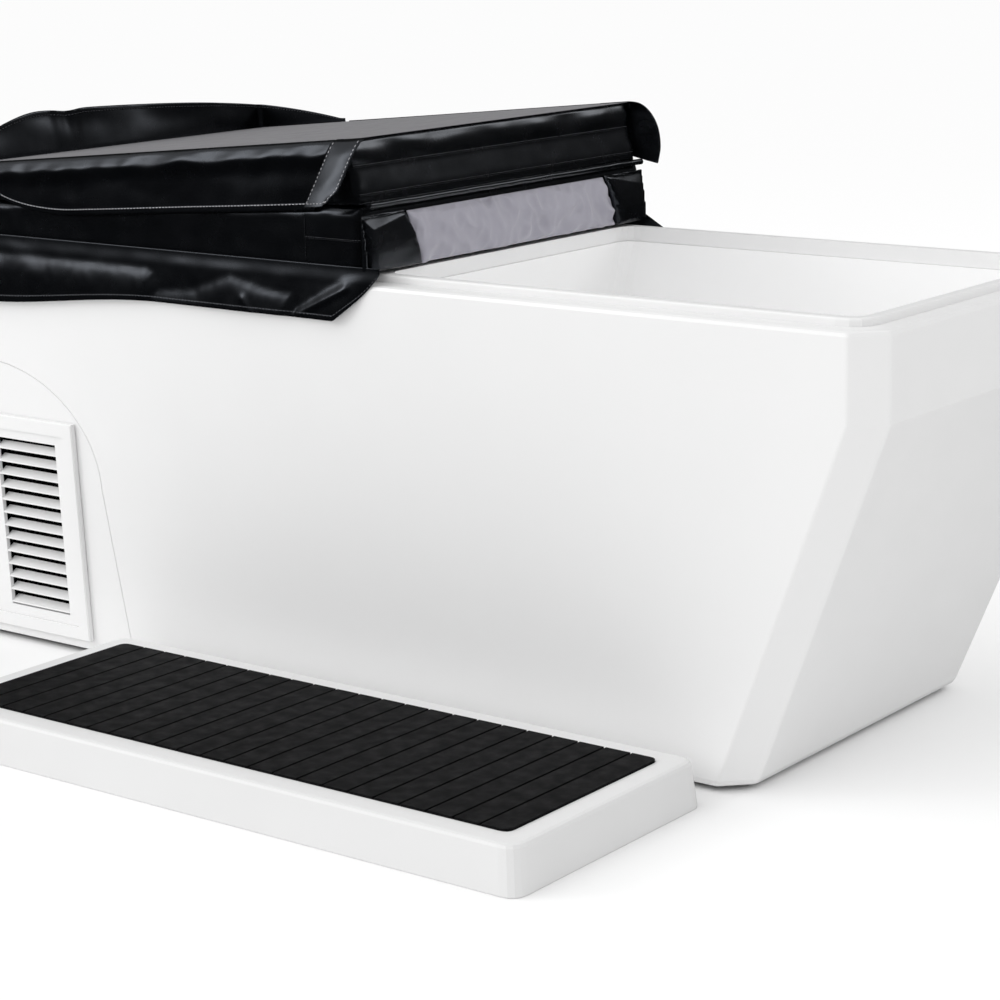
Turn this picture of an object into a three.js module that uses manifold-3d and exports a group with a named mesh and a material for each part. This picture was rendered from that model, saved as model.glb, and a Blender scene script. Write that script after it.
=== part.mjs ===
// Cold plunge tub with a folded insulated cover, a chiller bay behind a louvred panel and a loose step.
// Millimetres, +Z up. X runs along the tub, the near side faces -Y, and the origin is on the floor
// under the middle of the tub.
import * as THREE from 'three';
import { mergeVertices } from 'three/addons/utils/BufferGeometryUtils.js';
import Module from 'manifold-3d';

const wasm = await Module();
wasm.setup();

// Fit and finish shared by all pieces
const seatGap = 0.3;             // clearance between pieces that seat on each other
const cutOverrun = 5;            // how far a cut runs past the face it opens

// Tub body
const tubLength = 2160;
const tubWidth = 760;
const rimHeight = 706;           // floor to the flat shelf round the top
const runnerHeight = 8;          // gap under the body
const sideDraft = 0.0466;        // inward run of the sides for each mm down
const bandHeight = 131;          // near-vertical band at the right end
const bandDraft = 0.0233;
const undercutSlope = 0.398;     // inward run of the right end below the band
const cornerCut = 44;            // flat facet on the four upright corners
const edgeRound = 10;            // round on the facets' upright edges
const shellWall = 7;
const rimRound = 7;
const baseRound = 12;
const footWall = 18;             // thicker wall at the foot of the shell
const footHeight = 14;

// Shelf, lip and basin
const shelfWidth = 38;
const lipWidth = 17;
const lipHeight = 12;
const lipRound = 3;
const lipCorner = 46;
const flangeThickness = 6;       // shell's in-turned flange under the lip
const flangeSeat = 10;           // width of flange that carries the lip
const flangeCorner = 20;         // corner round of the opening in the flange
const linerWall = 6;
const lipSkirt = 25;             // upright inner face of the lip, above the basin wall
const basinStep = 4;             // basin wall stands this far inside the lip's face
const basinCorner = 30;
const basinFromFilter = 430;     // filter's middle to the basin's left end wall, at the rim
const basinEndLean = 0.2;        // leftward run of that wall for each mm down
const basinFloor = 110;
const basinFloorRound = 20;
const deckCrossLip = 40;         // lip left standing between the deck and the basin
const foamThickness = 35;

// Base
const boardThickness = 12;
const runnerWidth = 70;
const runnerInset = 38;          // runner ends back from the sides
const runnerFromLeft = 180;      // outer runners in from the ends of the base
const runnerFromRight = 151;

// Service panel and louvre, on the near side
const archFromEnd = 395;         // tub's left end to the middle of the panel
const archSpring = 305;          // height where the round top starts
const archHalf = 266;            // half width at that height
const archRise = 205;
const archFlare = 0.151;         // outward run of the sides for each mm below
const panelBottom = 10;
const panelThickness = 8.5;
const panelGap = 1.6;
const panelBevel = 1.2;
const rebateWidth = 14;
const rebateThickness = 6;
const louvreFoot = 28;           // louvre frame's lower edge
const louvreWidth = 430;
const louvreHeight = 388;
const louvreBorder = 24;
const louvreProud = 12;
const louvreBevel = 2;
const grilleThickness = 7.5;
const bladeCount = 13;
const bladePitch = 23.5;
const bladeRise = 8;             // rear edge above front edge
const bladeReach = 16.5;         // front edge to rear edge
const bladeThickness = 2.6;
const bladeStart = 3;            // first blade's front edge above the foot of its bank
const bladeSetback = 0.4;        // front edges behind the grille's face
const mullionHalf = 22;
const slotWidth = 146;
const windowMargin = 12;         // panel left standing behind the grille's border

// Cover
const panelHingeDepth = 106.5;   // thickness of both panels at the fold
const coverSlope = 0.0455;       // fall of a panel's top towards its far end
const coverOverhang = 1;         // ends of the closed cover past the tub's ends
const foldClear = 6;             // panels' clearance round the fold line
const weltRadius = 5;
const foldFaceLean = 27;         // upper panel's fold face leans back this far at its foot
const coverRound = 9;            // round on a panel's long upper and lower edges
const coverEdgeRound = 6;        // round on a panel's end edges
const sealDepth = 19;            // seal pad's thickness at its foot
const sealTopDepth = 4;
const sealTop = 14;
const sealFootGap = 6;
const gussetWidth = { near: 95, far: 130 };   // panel's long edges to the seal pad
const sealCrown = 4;
const sealBulge = 2;
const gussetDepth = 16;
const clothThickness = 3;
const skirtLap = 14;             // sewn overlap of a skirt on its panel
const skirtDrop = 72;            // lower skirts, below the panel's foot
const skirtExtraDrop = 30;       // added towards the left end
const skirtExtraStart = 440;     // from the fold to where the added drop starts
const skirtExtraRun = 420;
const skirtFold = 10;            // depth of the hanging folds
const skirtFoldLength = 175;
const skirtReach = { near: 29, far: 42 };   // loose corner past the fold line
const hemCornerRun = 92;         // length over which a hem sweeps up at the fold end
const flapDrop = 108;            // near and far flaps of the upper panel, at the fold
const flapTaper = 0.016;         // loss of drop for each mm towards the end
const flapFold = 4;
const flapFoldLength = 310;
const flapEndGap = 45;           // near flap stops this far short of the panel's end
const flapWrapGap = 12;          // far flap stops this far short of the end flap's wrap
const flapEndRound = 230;        // length of the flaps' rounded ends
const tabWidth = 60;
const tabStart = { near: -16, far: 20 };    // tab's free edge at its seam, from the fold line
const tabLean = { near: 0.72, far: -0.37 }; // slant of the tab's edges
const tabDrop = { near: 102, far: 116 };
const tabBow = 2;
const endFlapDrop = 72;
const endFlapWrap = 215;         // end flap runs round the far corner
const endFlapRound = 10;         // bend round the panel's corner
const endFlapStart = 42;         // near end of the end flap, in from the panel's side
const endFlapGrowth = 300;       // length over which the end flap rises from its far end
const endFlapSweep = 300;        // length over which it falls again to its near end
const endFlapNearShare = 0.47;   // where on that sweep the near end is cut

// Chiller bay
const trayLength = 640;
const trayWall = 3;
const trayHeight = 24;
const trayClear = 20;            // tray's edges to the shell's foot
const trayBoxGap = 6;            // tray to the control box
const coilLength = 400;
const coilDepth = 44;
const coilHeight = 350;
const coilSetback = 18;          // coil's face behind the tray's near edge
const finCount = 34;
const finThickness = 4;
const finWeb = 8;
const shroudDepth = 40;
const fanOpening = 150;
const fanRadius = 140;
const fanHubRadius = 36;
const fanHubDepth = 24;
const fanBlades = 5;
const fanBladeThickness = 3;
const fanBladeWidth = 74;
const fanBladePitch = 0.24;      // blade's twist off the fan's plane, radians
const bracketHeight = 50;
const bracketThickness = 6;
const motorRadius = 42;
const motorLength = 80;
const shaftRadius = 6;
const compressorFromRight = 170; // tray's right edge to the compressor's middle
const compressorFar = 23;        // past the tray's middle
const compressorRadius = 82;
const compressorHeight = 270;
const exchangerLeft = 145;       // left of the panel's middle
const exchangerRadius = 62;
const exchangerHeight = 380;
const exchangerBand = 34;        // height of the vessel's end bands
const exchangerBandProud = 3.7;
const exchangerClear = 5;        // vessel to the tray's rim
const controlSize = { x: 220, y: 90, z: 150 };
const controlFromEnd = 205;      // tub's left end to the box's middle
const controlClear = 8;          // box to the shell's foot

// Water circuit
const pipeRadius = 20;
const filterGap = 50;            // tray to the filter housing
const filterRadius = 85;
const filterHeight = 400;
const filterWall = 5;
const cartridgeRadius = 62;
const cartridgeCore = 22;
const filterLidRadius = 98;
const filterLidHeight = 34;
const pumpLine = 100;            // height of the pump's axis
const voluteRadius = 70;
const voluteDepth = 66;
const pumpMotorRadius = 52;
const pumpMotorLength = 150;
const suctionHeight = 220;
const returnHeight = 330;
const fittingFlange = 45;
const fittingFlangeDepth = 6;
const fittingTail = 24;

// Drain
const drainFromEnd = 174;        // basin's left wall to the drain, at the floor
const drainClear = 13;           // drain flange to the floor's round
const drainHeight = 60;
const drainFlange = 40;
const drainTail = 22;
const drainPipeRadius = 14;
const valveRadius = 20;
const valveLength = 52;
const stemRadius = 7;
const stemHeight = 12;
const leverLength = 84;
const leverWidth = 16;
const leverThickness = 4;

// Step
const stepLength = 1165;
const stepDepth = 452;
const stepHeight = 72;
const stepCentreX = 237.5;
const stepCentreY = -624;
const stepDraft = 0.1;
const stepCorner = 27;
const stepTopRound = 6;
const stepWall = 6;
const matMargin = 40;
const matThickness = 6;
const matRecess = 2.5;
const matCorner = 14;
const matStrips = 23;
const matGroove = 4;
const matGrooveDepth = 3;

// Colours
const white = new THREE.MeshStandardMaterial({ color: 0xf1f2f2, roughness: 0.42, metalness: 0 });
const linerWhite = new THREE.MeshStandardMaterial({ color: 0xf4f5f5, roughness: 0.35, metalness: 0 });
const black = new THREE.MeshStandardMaterial({ color: 0x17181a, roughness: 0.4, metalness: 0 });
const matBlack = new THREE.MeshStandardMaterial({ color: 0x1c1d1f, roughness: 0.85, metalness: 0 });
const greyFabric = new THREE.MeshStandardMaterial({ color: 0x8f8c96, roughness: 0.7, metalness: 0 });
const foam = new THREE.MeshStandardMaterial({ color: 0xe6dcae, roughness: 0.95, metalness: 0 });
const rubber = new THREE.MeshStandardMaterial({ color: 0x222222, roughness: 0.9, metalness: 0 });
const board = new THREE.MeshStandardMaterial({ color: 0x3a3b3d, roughness: 0.8, metalness: 0 });
const zinc = new THREE.MeshStandardMaterial({ color: 0xb4b8bc, roughness: 0.45, metalness: 0.9 });
const alloy = new THREE.MeshStandardMaterial({ color: 0xc4c7ca, roughness: 0.4, metalness: 0.9 });
const enamel = new THREE.MeshStandardMaterial({ color: 0x1b1c1e, roughness: 0.35, metalness: 0.2 });
const darkPlastic = new THREE.MeshStandardMaterial({ color: 0x2c2e31, roughness: 0.55, metalness: 0 });
const pipeWhite = new THREE.MeshStandardMaterial({ color: 0xe4e5e6, roughness: 0.4, metalness: 0 });
const steel = new THREE.MeshStandardMaterial({ color: 0xc9ccd0, roughness: 0.25, metalness: 1 });
const paper = new THREE.MeshStandardMaterial({ color: 0xdfe6ea, roughness: 0.9, metalness: 0 });
const leverRed = new THREE.MeshStandardMaterial({ color: 0x8c1d1d, roughness: 0.45, metalness: 0 });

// Geometry helpers
function vec(x, y, z) {
  return new THREE.Vector3(x, y, z);
}

function toSolid(geometry) {
  const bare = new THREE.BufferGeometry();
  bare.setAttribute('position', geometry.getAttribute('position').clone());
  if (geometry.index) {
    bare.setIndex(geometry.index.clone());
  }
  const merged = mergeVertices(bare, 1e-4);
  const corners = merged.index.array;
  const triVerts = [];
  for (let i = 0; i < corners.length; i += 3) {
    const [a, b, c] = [corners[i], corners[i + 1], corners[i + 2]];
    if (a !== b && b !== c && c !== a) {
      triVerts.push(a, b, c);
    }
  }
  return new wasm.Manifold(new wasm.Mesh({
    numProp: 3,
    vertProperties: new Float32Array(merged.getAttribute('position').array),
    triVerts: new Uint32Array(triVerts),
  }));
}

function toGeometry(solid) {
  const mesh = solid.getMesh();
  const geometry = new THREE.BufferGeometry();
  geometry.setAttribute('position', new THREE.BufferAttribute(new Float32Array(mesh.vertProperties), 3));
  geometry.setIndex(new THREE.BufferAttribute(new Uint32Array(mesh.triVerts), 1));
  geometry.computeVertexNormals();
  return geometry;
}

function join(...geometries) {
  return toGeometry(geometries.map(toSolid).reduce((all, one) => all.add(one)));
}

function cut(geometry, ...tools) {
  return toGeometry(tools.map(toSolid).reduce((left, tool) => left.subtract(tool), toSolid(geometry)));
}

function common(first, second) {
  return toGeometry(toSolid(first).intersect(toSolid(second)));
}

function block(low, high) {
  const size = high.clone().sub(low);
  const middle = low.clone().add(high).multiplyScalar(0.5);
  return new THREE.BoxGeometry(size.x, size.y, size.z).translate(middle.x, middle.y, middle.z);
}

// A round bar from one point to another along X, Y or Z
function bar(from, to, radius, sides = 20) {
  const along = to.clone().sub(from);
  const middle = from.clone().add(to).multiplyScalar(0.5);
  const turn = new THREE.Quaternion().setFromUnitVectors(vec(0, 1, 0), along.clone().normalize());
  return new THREE.CylinderGeometry(radius, radius, along.length(), sides)
    .applyQuaternion(turn)
    .translate(middle.x, middle.y, middle.z);
}

// A turned form standing on Z, from radius and height pairs that start and end on the axis
function turned(profile, sides = 24) {
  const points = profile.map(([radius, height]) => new THREE.Vector2(radius, height));
  return new THREE.LatheGeometry(points, sides).rotateX(Math.PI / 2);
}

// A closed outline at one height, with each corner rounded
function roundedRing(corners, radius, steps, z) {
  const ring = [];
  corners.forEach((corner, i) => {
    const before = corners[(i + corners.length - 1) % corners.length].clone().sub(corner);
    const after = corners[(i + 1) % corners.length].clone().sub(corner);
    const half = before.angleTo(after) / 2;
    const room = 0.49 * Math.min(before.length(), after.length());
    const reach = Math.min(radius / Math.tan(half), room);
    const start = corner.clone().add(before.setLength(reach));
    const end = corner.clone().add(after.setLength(reach));
    const bend = new THREE.QuadraticBezierCurve(start, corner, end);
    bend.getPoints(steps).forEach((p) => ring.push(vec(p.x, p.y, z)));
  });
  return ring;
}

function rectangleRing(left, right, near, far, radius, z, steps = 4) {
  const corners = [[left, near], [right, near], [right, far], [left, far]];
  return roundedRing(corners.map(([x, y]) => new THREE.Vector2(x, y)), radius, steps, z);
}

// A solid skinned over level outlines, from the lowest up
function loft(rings) {
  const count = rings[0].length;
  const index = [];
  for (let k = 0; k + 1 < rings.length; k += 1) {
    for (let i = 0; i < count; i += 1) {
      const a = k * count + i;
      const b = k * count + (i + 1) % count;
      index.push(a, b, b + count, a, b + count, a + count);
    }
  }
  const flat = (ring) => ring.map((p) => new THREE.Vector2(p.x, p.y));
  THREE.ShapeUtils.triangulateShape(flat(rings[0]), []).forEach(([a, b, c]) => index.push(c, b, a));
  const top = (rings.length - 1) * count;
  THREE.ShapeUtils.triangulateShape(flat(rings.at(-1)), [])
    .forEach(([a, b, c]) => index.push(top + a, top + b, top + c));
  const geometry = new THREE.BufferGeometry();
  const positions = rings.flat().flatMap((p) => [p.x, p.y, p.z]);
  geometry.setAttribute('position', new THREE.Float32BufferAttribute(positions, 3));
  geometry.setIndex(index);
  geometry.computeVertexNormals();
  return geometry;
}

// A cloth panel with thickness; surface gives the middle of the cloth at u along and v down, both 0 to 1
function cloth(surface, alongSteps, downSteps) {
  const fine = 1e-3;
  const front = [];
  const back = [];
  for (let j = 0; j <= downSteps; j += 1) {
    for (let i = 0; i <= alongSteps; i += 1) {
      const u = i / alongSteps;
      const v = j / downSteps;
      const middle = surface(u, v);
      const du = surface(u + fine, v).sub(surface(u - fine, v));
      const dv = surface(u, v + fine).sub(surface(u, v - fine));
      const out = du.cross(dv).setLength(clothThickness / 2);
      front.push(middle.clone().add(out));
      back.push(middle.clone().sub(out));
    }
  }
  const row = alongSteps + 1;
  const other = front.length;
  const index = [];
  for (let j = 0; j < downSteps; j += 1) {
    for (let i = 0; i < alongSteps; i += 1) {
      const a = j * row + i;
      const [b, c, d] = [a + 1, a + row + 1, a + row];
      index.push(a, b, c, a, c, d);
      index.push(other + a, other + c, other + b, other + a, other + d, other + c);
    }
  }
  const border = [];
  for (let i = 0; i < alongSteps; i += 1) border.push(i);
  for (let j = 0; j < downSteps; j += 1) border.push(j * row + alongSteps);
  for (let i = alongSteps; i > 0; i -= 1) border.push(downSteps * row + i);
  for (let j = downSteps; j > 0; j -= 1) border.push(j * row);
  border.forEach((a, k) => {
    const b = border[(k + 1) % border.length];
    index.push(b, a, other + a, b, other + a, other + b);
  });
  const geometry = new THREE.BufferGeometry();
  const positions = [...front, ...back].flatMap((p) => [p.x, p.y, p.z]);
  geometry.setAttribute('position', new THREE.Float32BufferAttribute(positions, 3));
  geometry.setIndex(index);
  geometry.computeVertexNormals();
  return geometry;
}

function smooth(t) {
  const held = Math.min(1, Math.max(0, t));
  return held * held * (3 - 2 * held);
}

function piece(name, geometry, material) {
  const mesh = new THREE.Mesh(geometry, material);
  mesh.name = name;
  return mesh;
}

// Outer form of the body at a height
const bandFoot = rimHeight - bandHeight;
const baseTop = runnerHeight + boardThickness;

function rightEnd(z) {
  const inBand = bandDraft * Math.min(rimHeight - z, bandHeight);
  return tubLength / 2 - inBand - undercutSlope * Math.max(0, bandFoot - z);
}

function leftEnd(z) {
  return -tubLength / 2 + sideDraft * (rimHeight - z);
}

function halfWidth(z) {
  return tubWidth / 2 - sideDraft * (rimHeight - z);
}

// Body outline set in from its surface; a given left edge replaces the body's own left end
function bodyRing(z, inset, left = null) {
  const facet = cornerCut - inset * (2 - Math.SQRT2);
  const leftX = left === null ? leftEnd(z) + inset : left;
  const rightX = rightEnd(z) - inset;
  const side = halfWidth(z) - inset;
  const corners = [
    [leftX + facet, -side], [rightX - facet, -side], [rightX, -side + facet], [rightX, side - facet],
    [rightX - facet, side], [leftX + facet, side], [leftX, side - facet], [leftX, -side + facet],
  ].map(([x, y]) => new THREE.Vector2(x, y));
  return roundedRing(corners, edgeRound, 3, z);
}

// Basin outline at a height, set in from the body's surface by inset
const lipInset = shelfWidth + lipWidth;
const rimFoot = rimHeight + lipHeight - lipSkirt;
const wallInset = lipInset + basinStep;

function basinLeft(z) {
  return basinEnd - basinEndLean * (rimHeight - z);
}

function basinRing(z, inset, shapeZ = z) {
  const left = basinLeft(shapeZ) + inset - lipInset;
  const right = rightEnd(shapeZ) - inset;
  const side = halfWidth(shapeZ) - inset;
  return rectangleRing(left, right, -side, side, basinCorner, z);
}

// Water space of the basin up to a height, or with grow the same form swollen by that much
function basinForm(grow, top) {
  const floor = basinFloor - grow;
  const round = basinFloorRound;
  return loft([
    basinRing(floor, wallInset + round - grow, basinFloor),
    basinRing(floor + round * 0.3, wallInset + round * 0.3 - grow, basinFloor + round * 0.3),
    basinRing(floor + round, wallInset - grow, basinFloor + round),
    basinRing(bandFoot, wallInset - grow),
    basinRing(rimFoot - basinStep, wallInset - grow),
    basinRing(top, wallInset - grow, rimFoot),
  ]);
}

// Mouth of the rim over the basin
function rimMouth(grow, bottom, top) {
  return loft([basinRing(bottom, lipInset - grow, rimFoot), basinRing(top, lipInset - grow, rimHeight)]);
}

// Places of the pieces in the bay
const archCentre = -tubLength / 2 + archFromEnd;
const runnerPlaces = {
  left: -tubLength / 2 + runnerFromLeft,
  middle: 0,
  right: rightEnd(runnerHeight) - runnerFromRight,
};
const footInside = halfWidth(baseTop) - footWall;
const controlX = -tubLength / 2 + controlFromEnd;
const controlFar = footInside - controlClear;
const controlNear = controlFar - controlSize.y;
const trayLeft = leftEnd(baseTop) + footWall + trayClear;
const trayRight = trayLeft + trayLength;
const trayNear = -footInside + trayClear;
const trayFar = controlNear - trayBoxGap;
const exchangerX = archCentre - exchangerLeft;
const waterLineY = trayFar - trayWall - exchangerClear - exchangerRadius - exchangerBandProud;
const compressorX = trayRight - compressorFromRight;
const compressorY = (trayNear + trayFar) / 2 + compressorFar;
const filterX = trayRight + filterGap + filterRadius;
const basinEnd = filterX + basinFromFilter;
const filterY = -waterLineY;
const drainX = basinLeft(basinFloor) + drainFromEnd;
const drainY = halfWidth(basinFloor) - wallInset - basinFloorRound - drainFlange - drainClear;

// Frame of the near face: x along the tub from the arch's middle, y up the face, z out of it
const nearFace = new THREE.Group();
nearFace.position.set(archCentre, -halfWidth(0), 0);
nearFace.rotation.x = Math.PI / 2 + Math.atan(sideDraft);
nearFace.updateMatrixWorld();

function onNearFace(geometry) {
  return geometry.clone().applyMatrix4(nearFace.matrixWorld);
}

function archOutline(grow, bottom) {
  const footHalf = archHalf + grow + archFlare * (archSpring - bottom);
  const outline = new THREE.Shape();
  outline.moveTo(-footHalf, bottom);
  outline.lineTo(footHalf, bottom);
  outline.lineTo(archHalf + grow, archSpring);
  outline.absellipse(0, archSpring, archHalf + grow, archRise + grow, 0, Math.PI, false);
  outline.lineTo(-footHalf, bottom);
  return outline;
}

function plate(shape, from, to, bevel = 0) {
  const settings = {
    depth: to - from - 2 * bevel,
    curveSegments: 20,
    bevelEnabled: bevel > 0,
    bevelThickness: bevel,
    bevelSize: bevel,
    bevelOffset: -bevel,
    bevelSegments: 1,
  };
  return new THREE.ExtrudeGeometry(shape, settings).translate(0, 0, from + bevel);
}

function rectangle(left, bottom, right, top) {
  const shape = new THREE.Shape();
  shape.moveTo(left, bottom);
  shape.lineTo(right, bottom);
  shape.lineTo(right, top);
  shape.lineTo(left, top);
  shape.closePath();
  return shape;
}

// Tub body pieces
function outerShell() {
  const outside = loft([
    bodyRing(runnerHeight, baseRound * 0.8),
    bodyRing(runnerHeight + baseRound * 0.3, baseRound * 0.25),
    bodyRing(runnerHeight + baseRound, 0),
    bodyRing(bandFoot, 0),
    bodyRing(rimHeight - rimRound, 0),
    bodyRing(rimHeight - rimRound * 0.3, rimRound * 0.3),
    bodyRing(rimHeight, rimRound),
  ]);
  const footTop = baseTop + 2;
  const hollow = loft([
    bodyRing(runnerHeight - cutOverrun, footWall),
    bodyRing(footTop, footWall),
    bodyRing(footTop + footHeight, shellWall),
    bodyRing(bandFoot, shellWall),
    bodyRing(rimHeight - flangeThickness, shellWall),
  ]);
  const seat = shelfWidth + flangeSeat;
  const mouth = (z) => rectangleRing(
    -tubLength / 2 + seat, tubLength / 2 - seat, -tubWidth / 2 + seat, tubWidth / 2 - seat, flangeCorner, z);
  const topOpening = loft([mouth(rimHeight - flangeThickness - cutOverrun), mouth(rimHeight + cutOverrun)]);
  const doorway = onNearFace(plate(archOutline(panelGap, -footWall), -3 * footWall, footWall));
  const rebateBack = -panelThickness - seatGap - rebateThickness;
  const rebateFoot = baseTop + footHeight;
  const lipRing = cut(
    plate(archOutline(rebateWidth, rebateFoot), rebateBack, rebateBack + rebateThickness),
    plate(archOutline(-rebateWidth, rebateFoot - cutOverrun), rebateBack - 1, 1));
  const standRing = cut(
    plate(archOutline(rebateWidth, rebateFoot), rebateBack, -shellWall + 0.5),
    plate(archOutline(panelGap, rebateFoot - cutOverrun), rebateBack - 1, 1));
  const drainHole = bar(vec(drainX, 0, drainHeight), vec(drainX, tubWidth, drainHeight),
    drainPipeRadius + seatGap);
  const walls = cut(outside, hollow, topOpening, doorway, drainHole);
  return piece('outer_shell', join(walls, onNearFace(join(lipRing, standRing))), white);
}

function rimDeck() {
  const edge = (inset, z, corner) => rectangleRing(
    -tubLength / 2 + inset, tubLength / 2 - inset, -tubWidth / 2 + inset, tubWidth / 2 - inset, corner, z);
  const lipTop = rimHeight + lipHeight;
  const lip = loft([
    edge(shelfWidth, rimHeight, lipCorner),
    edge(shelfWidth, lipTop - lipRound, lipCorner),
    edge(shelfWidth + lipRound * 0.3, lipTop - lipRound * 0.3, lipCorner),
    edge(shelfWidth + lipRound, lipTop, lipCorner),
  ]);
  const deckRing = (inset, right, z) => rectangleRing(
    -tubLength / 2 + inset, right, -tubWidth / 2 + inset, tubWidth / 2 - inset, lipCorner - lipWidth, z);
  const deckInset = lipInset - linerWall;
  const deck = loft([
    deckRing(deckInset, basinEnd, rimHeight - linerWall),
    deckRing(deckInset, basinEnd, rimHeight + lipRound),
  ]);
  const deckRecess = loft([
    deckRing(lipInset, basinEnd - deckCrossLip, rimHeight),
    deckRing(lipInset, basinEnd - deckCrossLip, lipTop + cutOverrun),
  ]);
  const skirt = rimMouth(linerWall, rimFoot, rimHeight + lipRound);
  const mouth = rimMouth(0, rimFoot - cutOverrun, lipTop + cutOverrun);
  return piece('rim_deck', cut(join(lip, deck, skirt), mouth, deckRecess), white);
}

function basinLiner() {
  const hole = (y, z) => bar(vec(-tubLength / 2, y, z), vec(basinEnd, y, z), fittingTail + seatGap);
  const drainTop = vec(drainX, drainY, basinFloor + cutOverrun);
  const drainHole = bar(vec(drainX, drainY, 0), drainTop, drainTail + seatGap);
  return piece('basin_liner',
    cut(basinForm(linerWall, rimFoot - seatGap), basinForm(0, rimFoot + cutOverrun),
      hole(filterY, suctionHeight), hole(waterLineY, returnHeight), drainHole), linerWhite);
}

function basinInsulation() {
  const skin = shellWall + seatGap;
  const left = (z) => basinLeft(z) - linerWall - foamThickness;
  const footTop = baseTop + 2;
  const top = rimFoot - 2;
  const jacket = loft([
    bodyRing(baseTop, footWall + seatGap, left(baseTop)),
    bodyRing(footTop, footWall + seatGap, left(footTop)),
    bodyRing(footTop + footHeight, skin, left(footTop + footHeight)),
    bodyRing(bandFoot, skin, left(bandFoot)),
    bodyRing(top, skin, left(top)),
  ]);
  const hole = (y, z) => bar(vec(-tubLength / 2, y, z), vec(basinEnd, y, z), fittingTail + seatGap);
  const drainHole = bar(vec(drainX, drainY, 0), vec(drainX, drainY, basinFloor), drainTail + seatGap);
  const drainBore = bar(vec(drainX, drainY, drainHeight), vec(drainX, tubWidth, drainHeight),
    drainPipeRadius + seatGap);
  return piece('basin_insulation',
    cut(jacket, basinForm(linerWall + seatGap, rimFoot + cutOverrun), hole(filterY, suctionHeight),
      hole(waterLineY, returnHeight), drainHole, drainBore), foam);
}

function baseBoard() {
  const inset = footWall + seatGap;
  const drainWell = bar(vec(drainX, drainY, 0), vec(drainX, drainY, basinFloor), drainTail + seatGap);
  const slab = loft([bodyRing(runnerHeight, inset), bodyRing(baseTop, inset)]);
  return piece('base_board', cut(slab, drainWell), board);
}

function baseRunner(place) {
  const half = halfWidth(runnerHeight) - runnerInset;
  const x = runnerPlaces[place];
  return piece(`base_runner_${place}`,
    block(vec(x - runnerWidth / 2, -half, 0), vec(x + runnerWidth / 2, half, runnerHeight)), rubber);
}

// Service panel and louvre
const frameTop = louvreFoot + louvreHeight;
const openingHalf = louvreWidth / 2 - louvreBorder;
const openingFoot = louvreFoot + louvreBorder;
const openingTop = frameTop - louvreBorder;

function servicePanel() {
  const window = rectangle(-openingHalf + windowMargin, openingFoot + windowMargin,
    openingHalf - windowMargin, openingTop - windowMargin);
  const panel = plate(archOutline(0, panelBottom), -panelThickness, 0, panelBevel);
  return piece('service_panel', cut(panel, plate(window, -2 * panelThickness, panelThickness)), white);
}

function louvreFrame() {
  const outline = rectangle(-louvreWidth / 2, louvreFoot, louvreWidth / 2, frameTop);
  const opening = rectangle(-openingHalf, openingFoot, openingHalf, openingTop);
  return piece('louvre_frame',
    cut(plate(outline, seatGap, louvreProud, louvreBevel),
      plate(opening, -louvreProud, 2 * louvreProud)), white);
}

function louvreGrille() {
  const clear = seatGap;
  const sheet = plate(
    rectangle(-openingHalf + clear, openingFoot + clear, openingHalf - clear, openingTop - clear),
    seatGap, seatGap + grilleThickness);
  const bankFoot = (openingFoot + openingTop - bladeCount * bladePitch) / 2;
  const bank = (side) => {
    const low = side > 0 ? mullionHalf : -mullionHalf - slotWidth;
    return plate(rectangle(low, bankFoot, low + slotWidth, bankFoot + bladeCount * bladePitch),
      -grilleThickness, 3 * grilleThickness);
  };
  const blades = [];
  const face = seatGap + grilleThickness - bladeSetback;
  for (const side of [-1, 1]) {
    const low = side > 0 ? mullionHalf : -mullionHalf - slotWidth;
    for (let i = 0; i < bladeCount; i += 1) {
      const foot = bankFoot + bladeStart + i * bladePitch;
      const section = new THREE.Shape();
      section.moveTo(face, foot);
      section.lineTo(face, foot + bladeThickness);
      section.lineTo(face - bladeReach, foot + bladeRise + bladeThickness);
      section.lineTo(face - bladeReach, foot + bladeRise);
      section.closePath();
      const blade = new THREE.ExtrudeGeometry(section, { depth: slotWidth + 2, bevelEnabled: false });
      const turn = new THREE.Matrix4().makeBasis(vec(0, 0, 1), vec(0, 1, 0), vec(-1, 0, 0));
      blades.push(blade.applyMatrix4(turn).translate(low + slotWidth + 1, 0, 0));
    }
  }
  return piece('louvre_grille', join(cut(sheet, bank(-1), bank(1)), ...blades), white);
}

// Cover: the fold line lies along Y at the top of the panels
const foldX = basinEnd;
const foldHeight = rimHeight + lipHeight + seatGap + panelHingeDepth;
const foldAngle = Math.PI + 2 * Math.atan(coverSlope);
const panelHalf = tubWidth / 2;
const panelFoot = -panelHingeDepth;
const skirtOut = panelHalf + seatGap + clothThickness / 2;
const lowerLength = foldX + tubLength / 2 + coverOverhang;
const upperLength = tubLength / 2 - foldX + coverOverhang;
const sealNear = -panelHalf + gussetWidth.near;
const sealFar = panelHalf - gussetWidth.far;

const coverBase = new THREE.Group();
coverBase.position.set(foldX, 0, foldHeight);
const coverTop = new THREE.Group();
coverTop.position.copy(coverBase.position);
coverTop.rotation.y = -foldAngle;

// A solid skinned over side outlines in X and Z, given from the near side to the far side
function skinAcross(sections) {
  const turn = new THREE.Matrix4().makeBasis(vec(1, 0, 0), vec(0, 0, -1), vec(0, 1, 0));
  const rings = sections.map(([y, points]) => points.map((p) => vec(p.x, -p.y, y)).reverse());
  return loft(rings).applyMatrix4(turn);
}

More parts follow.
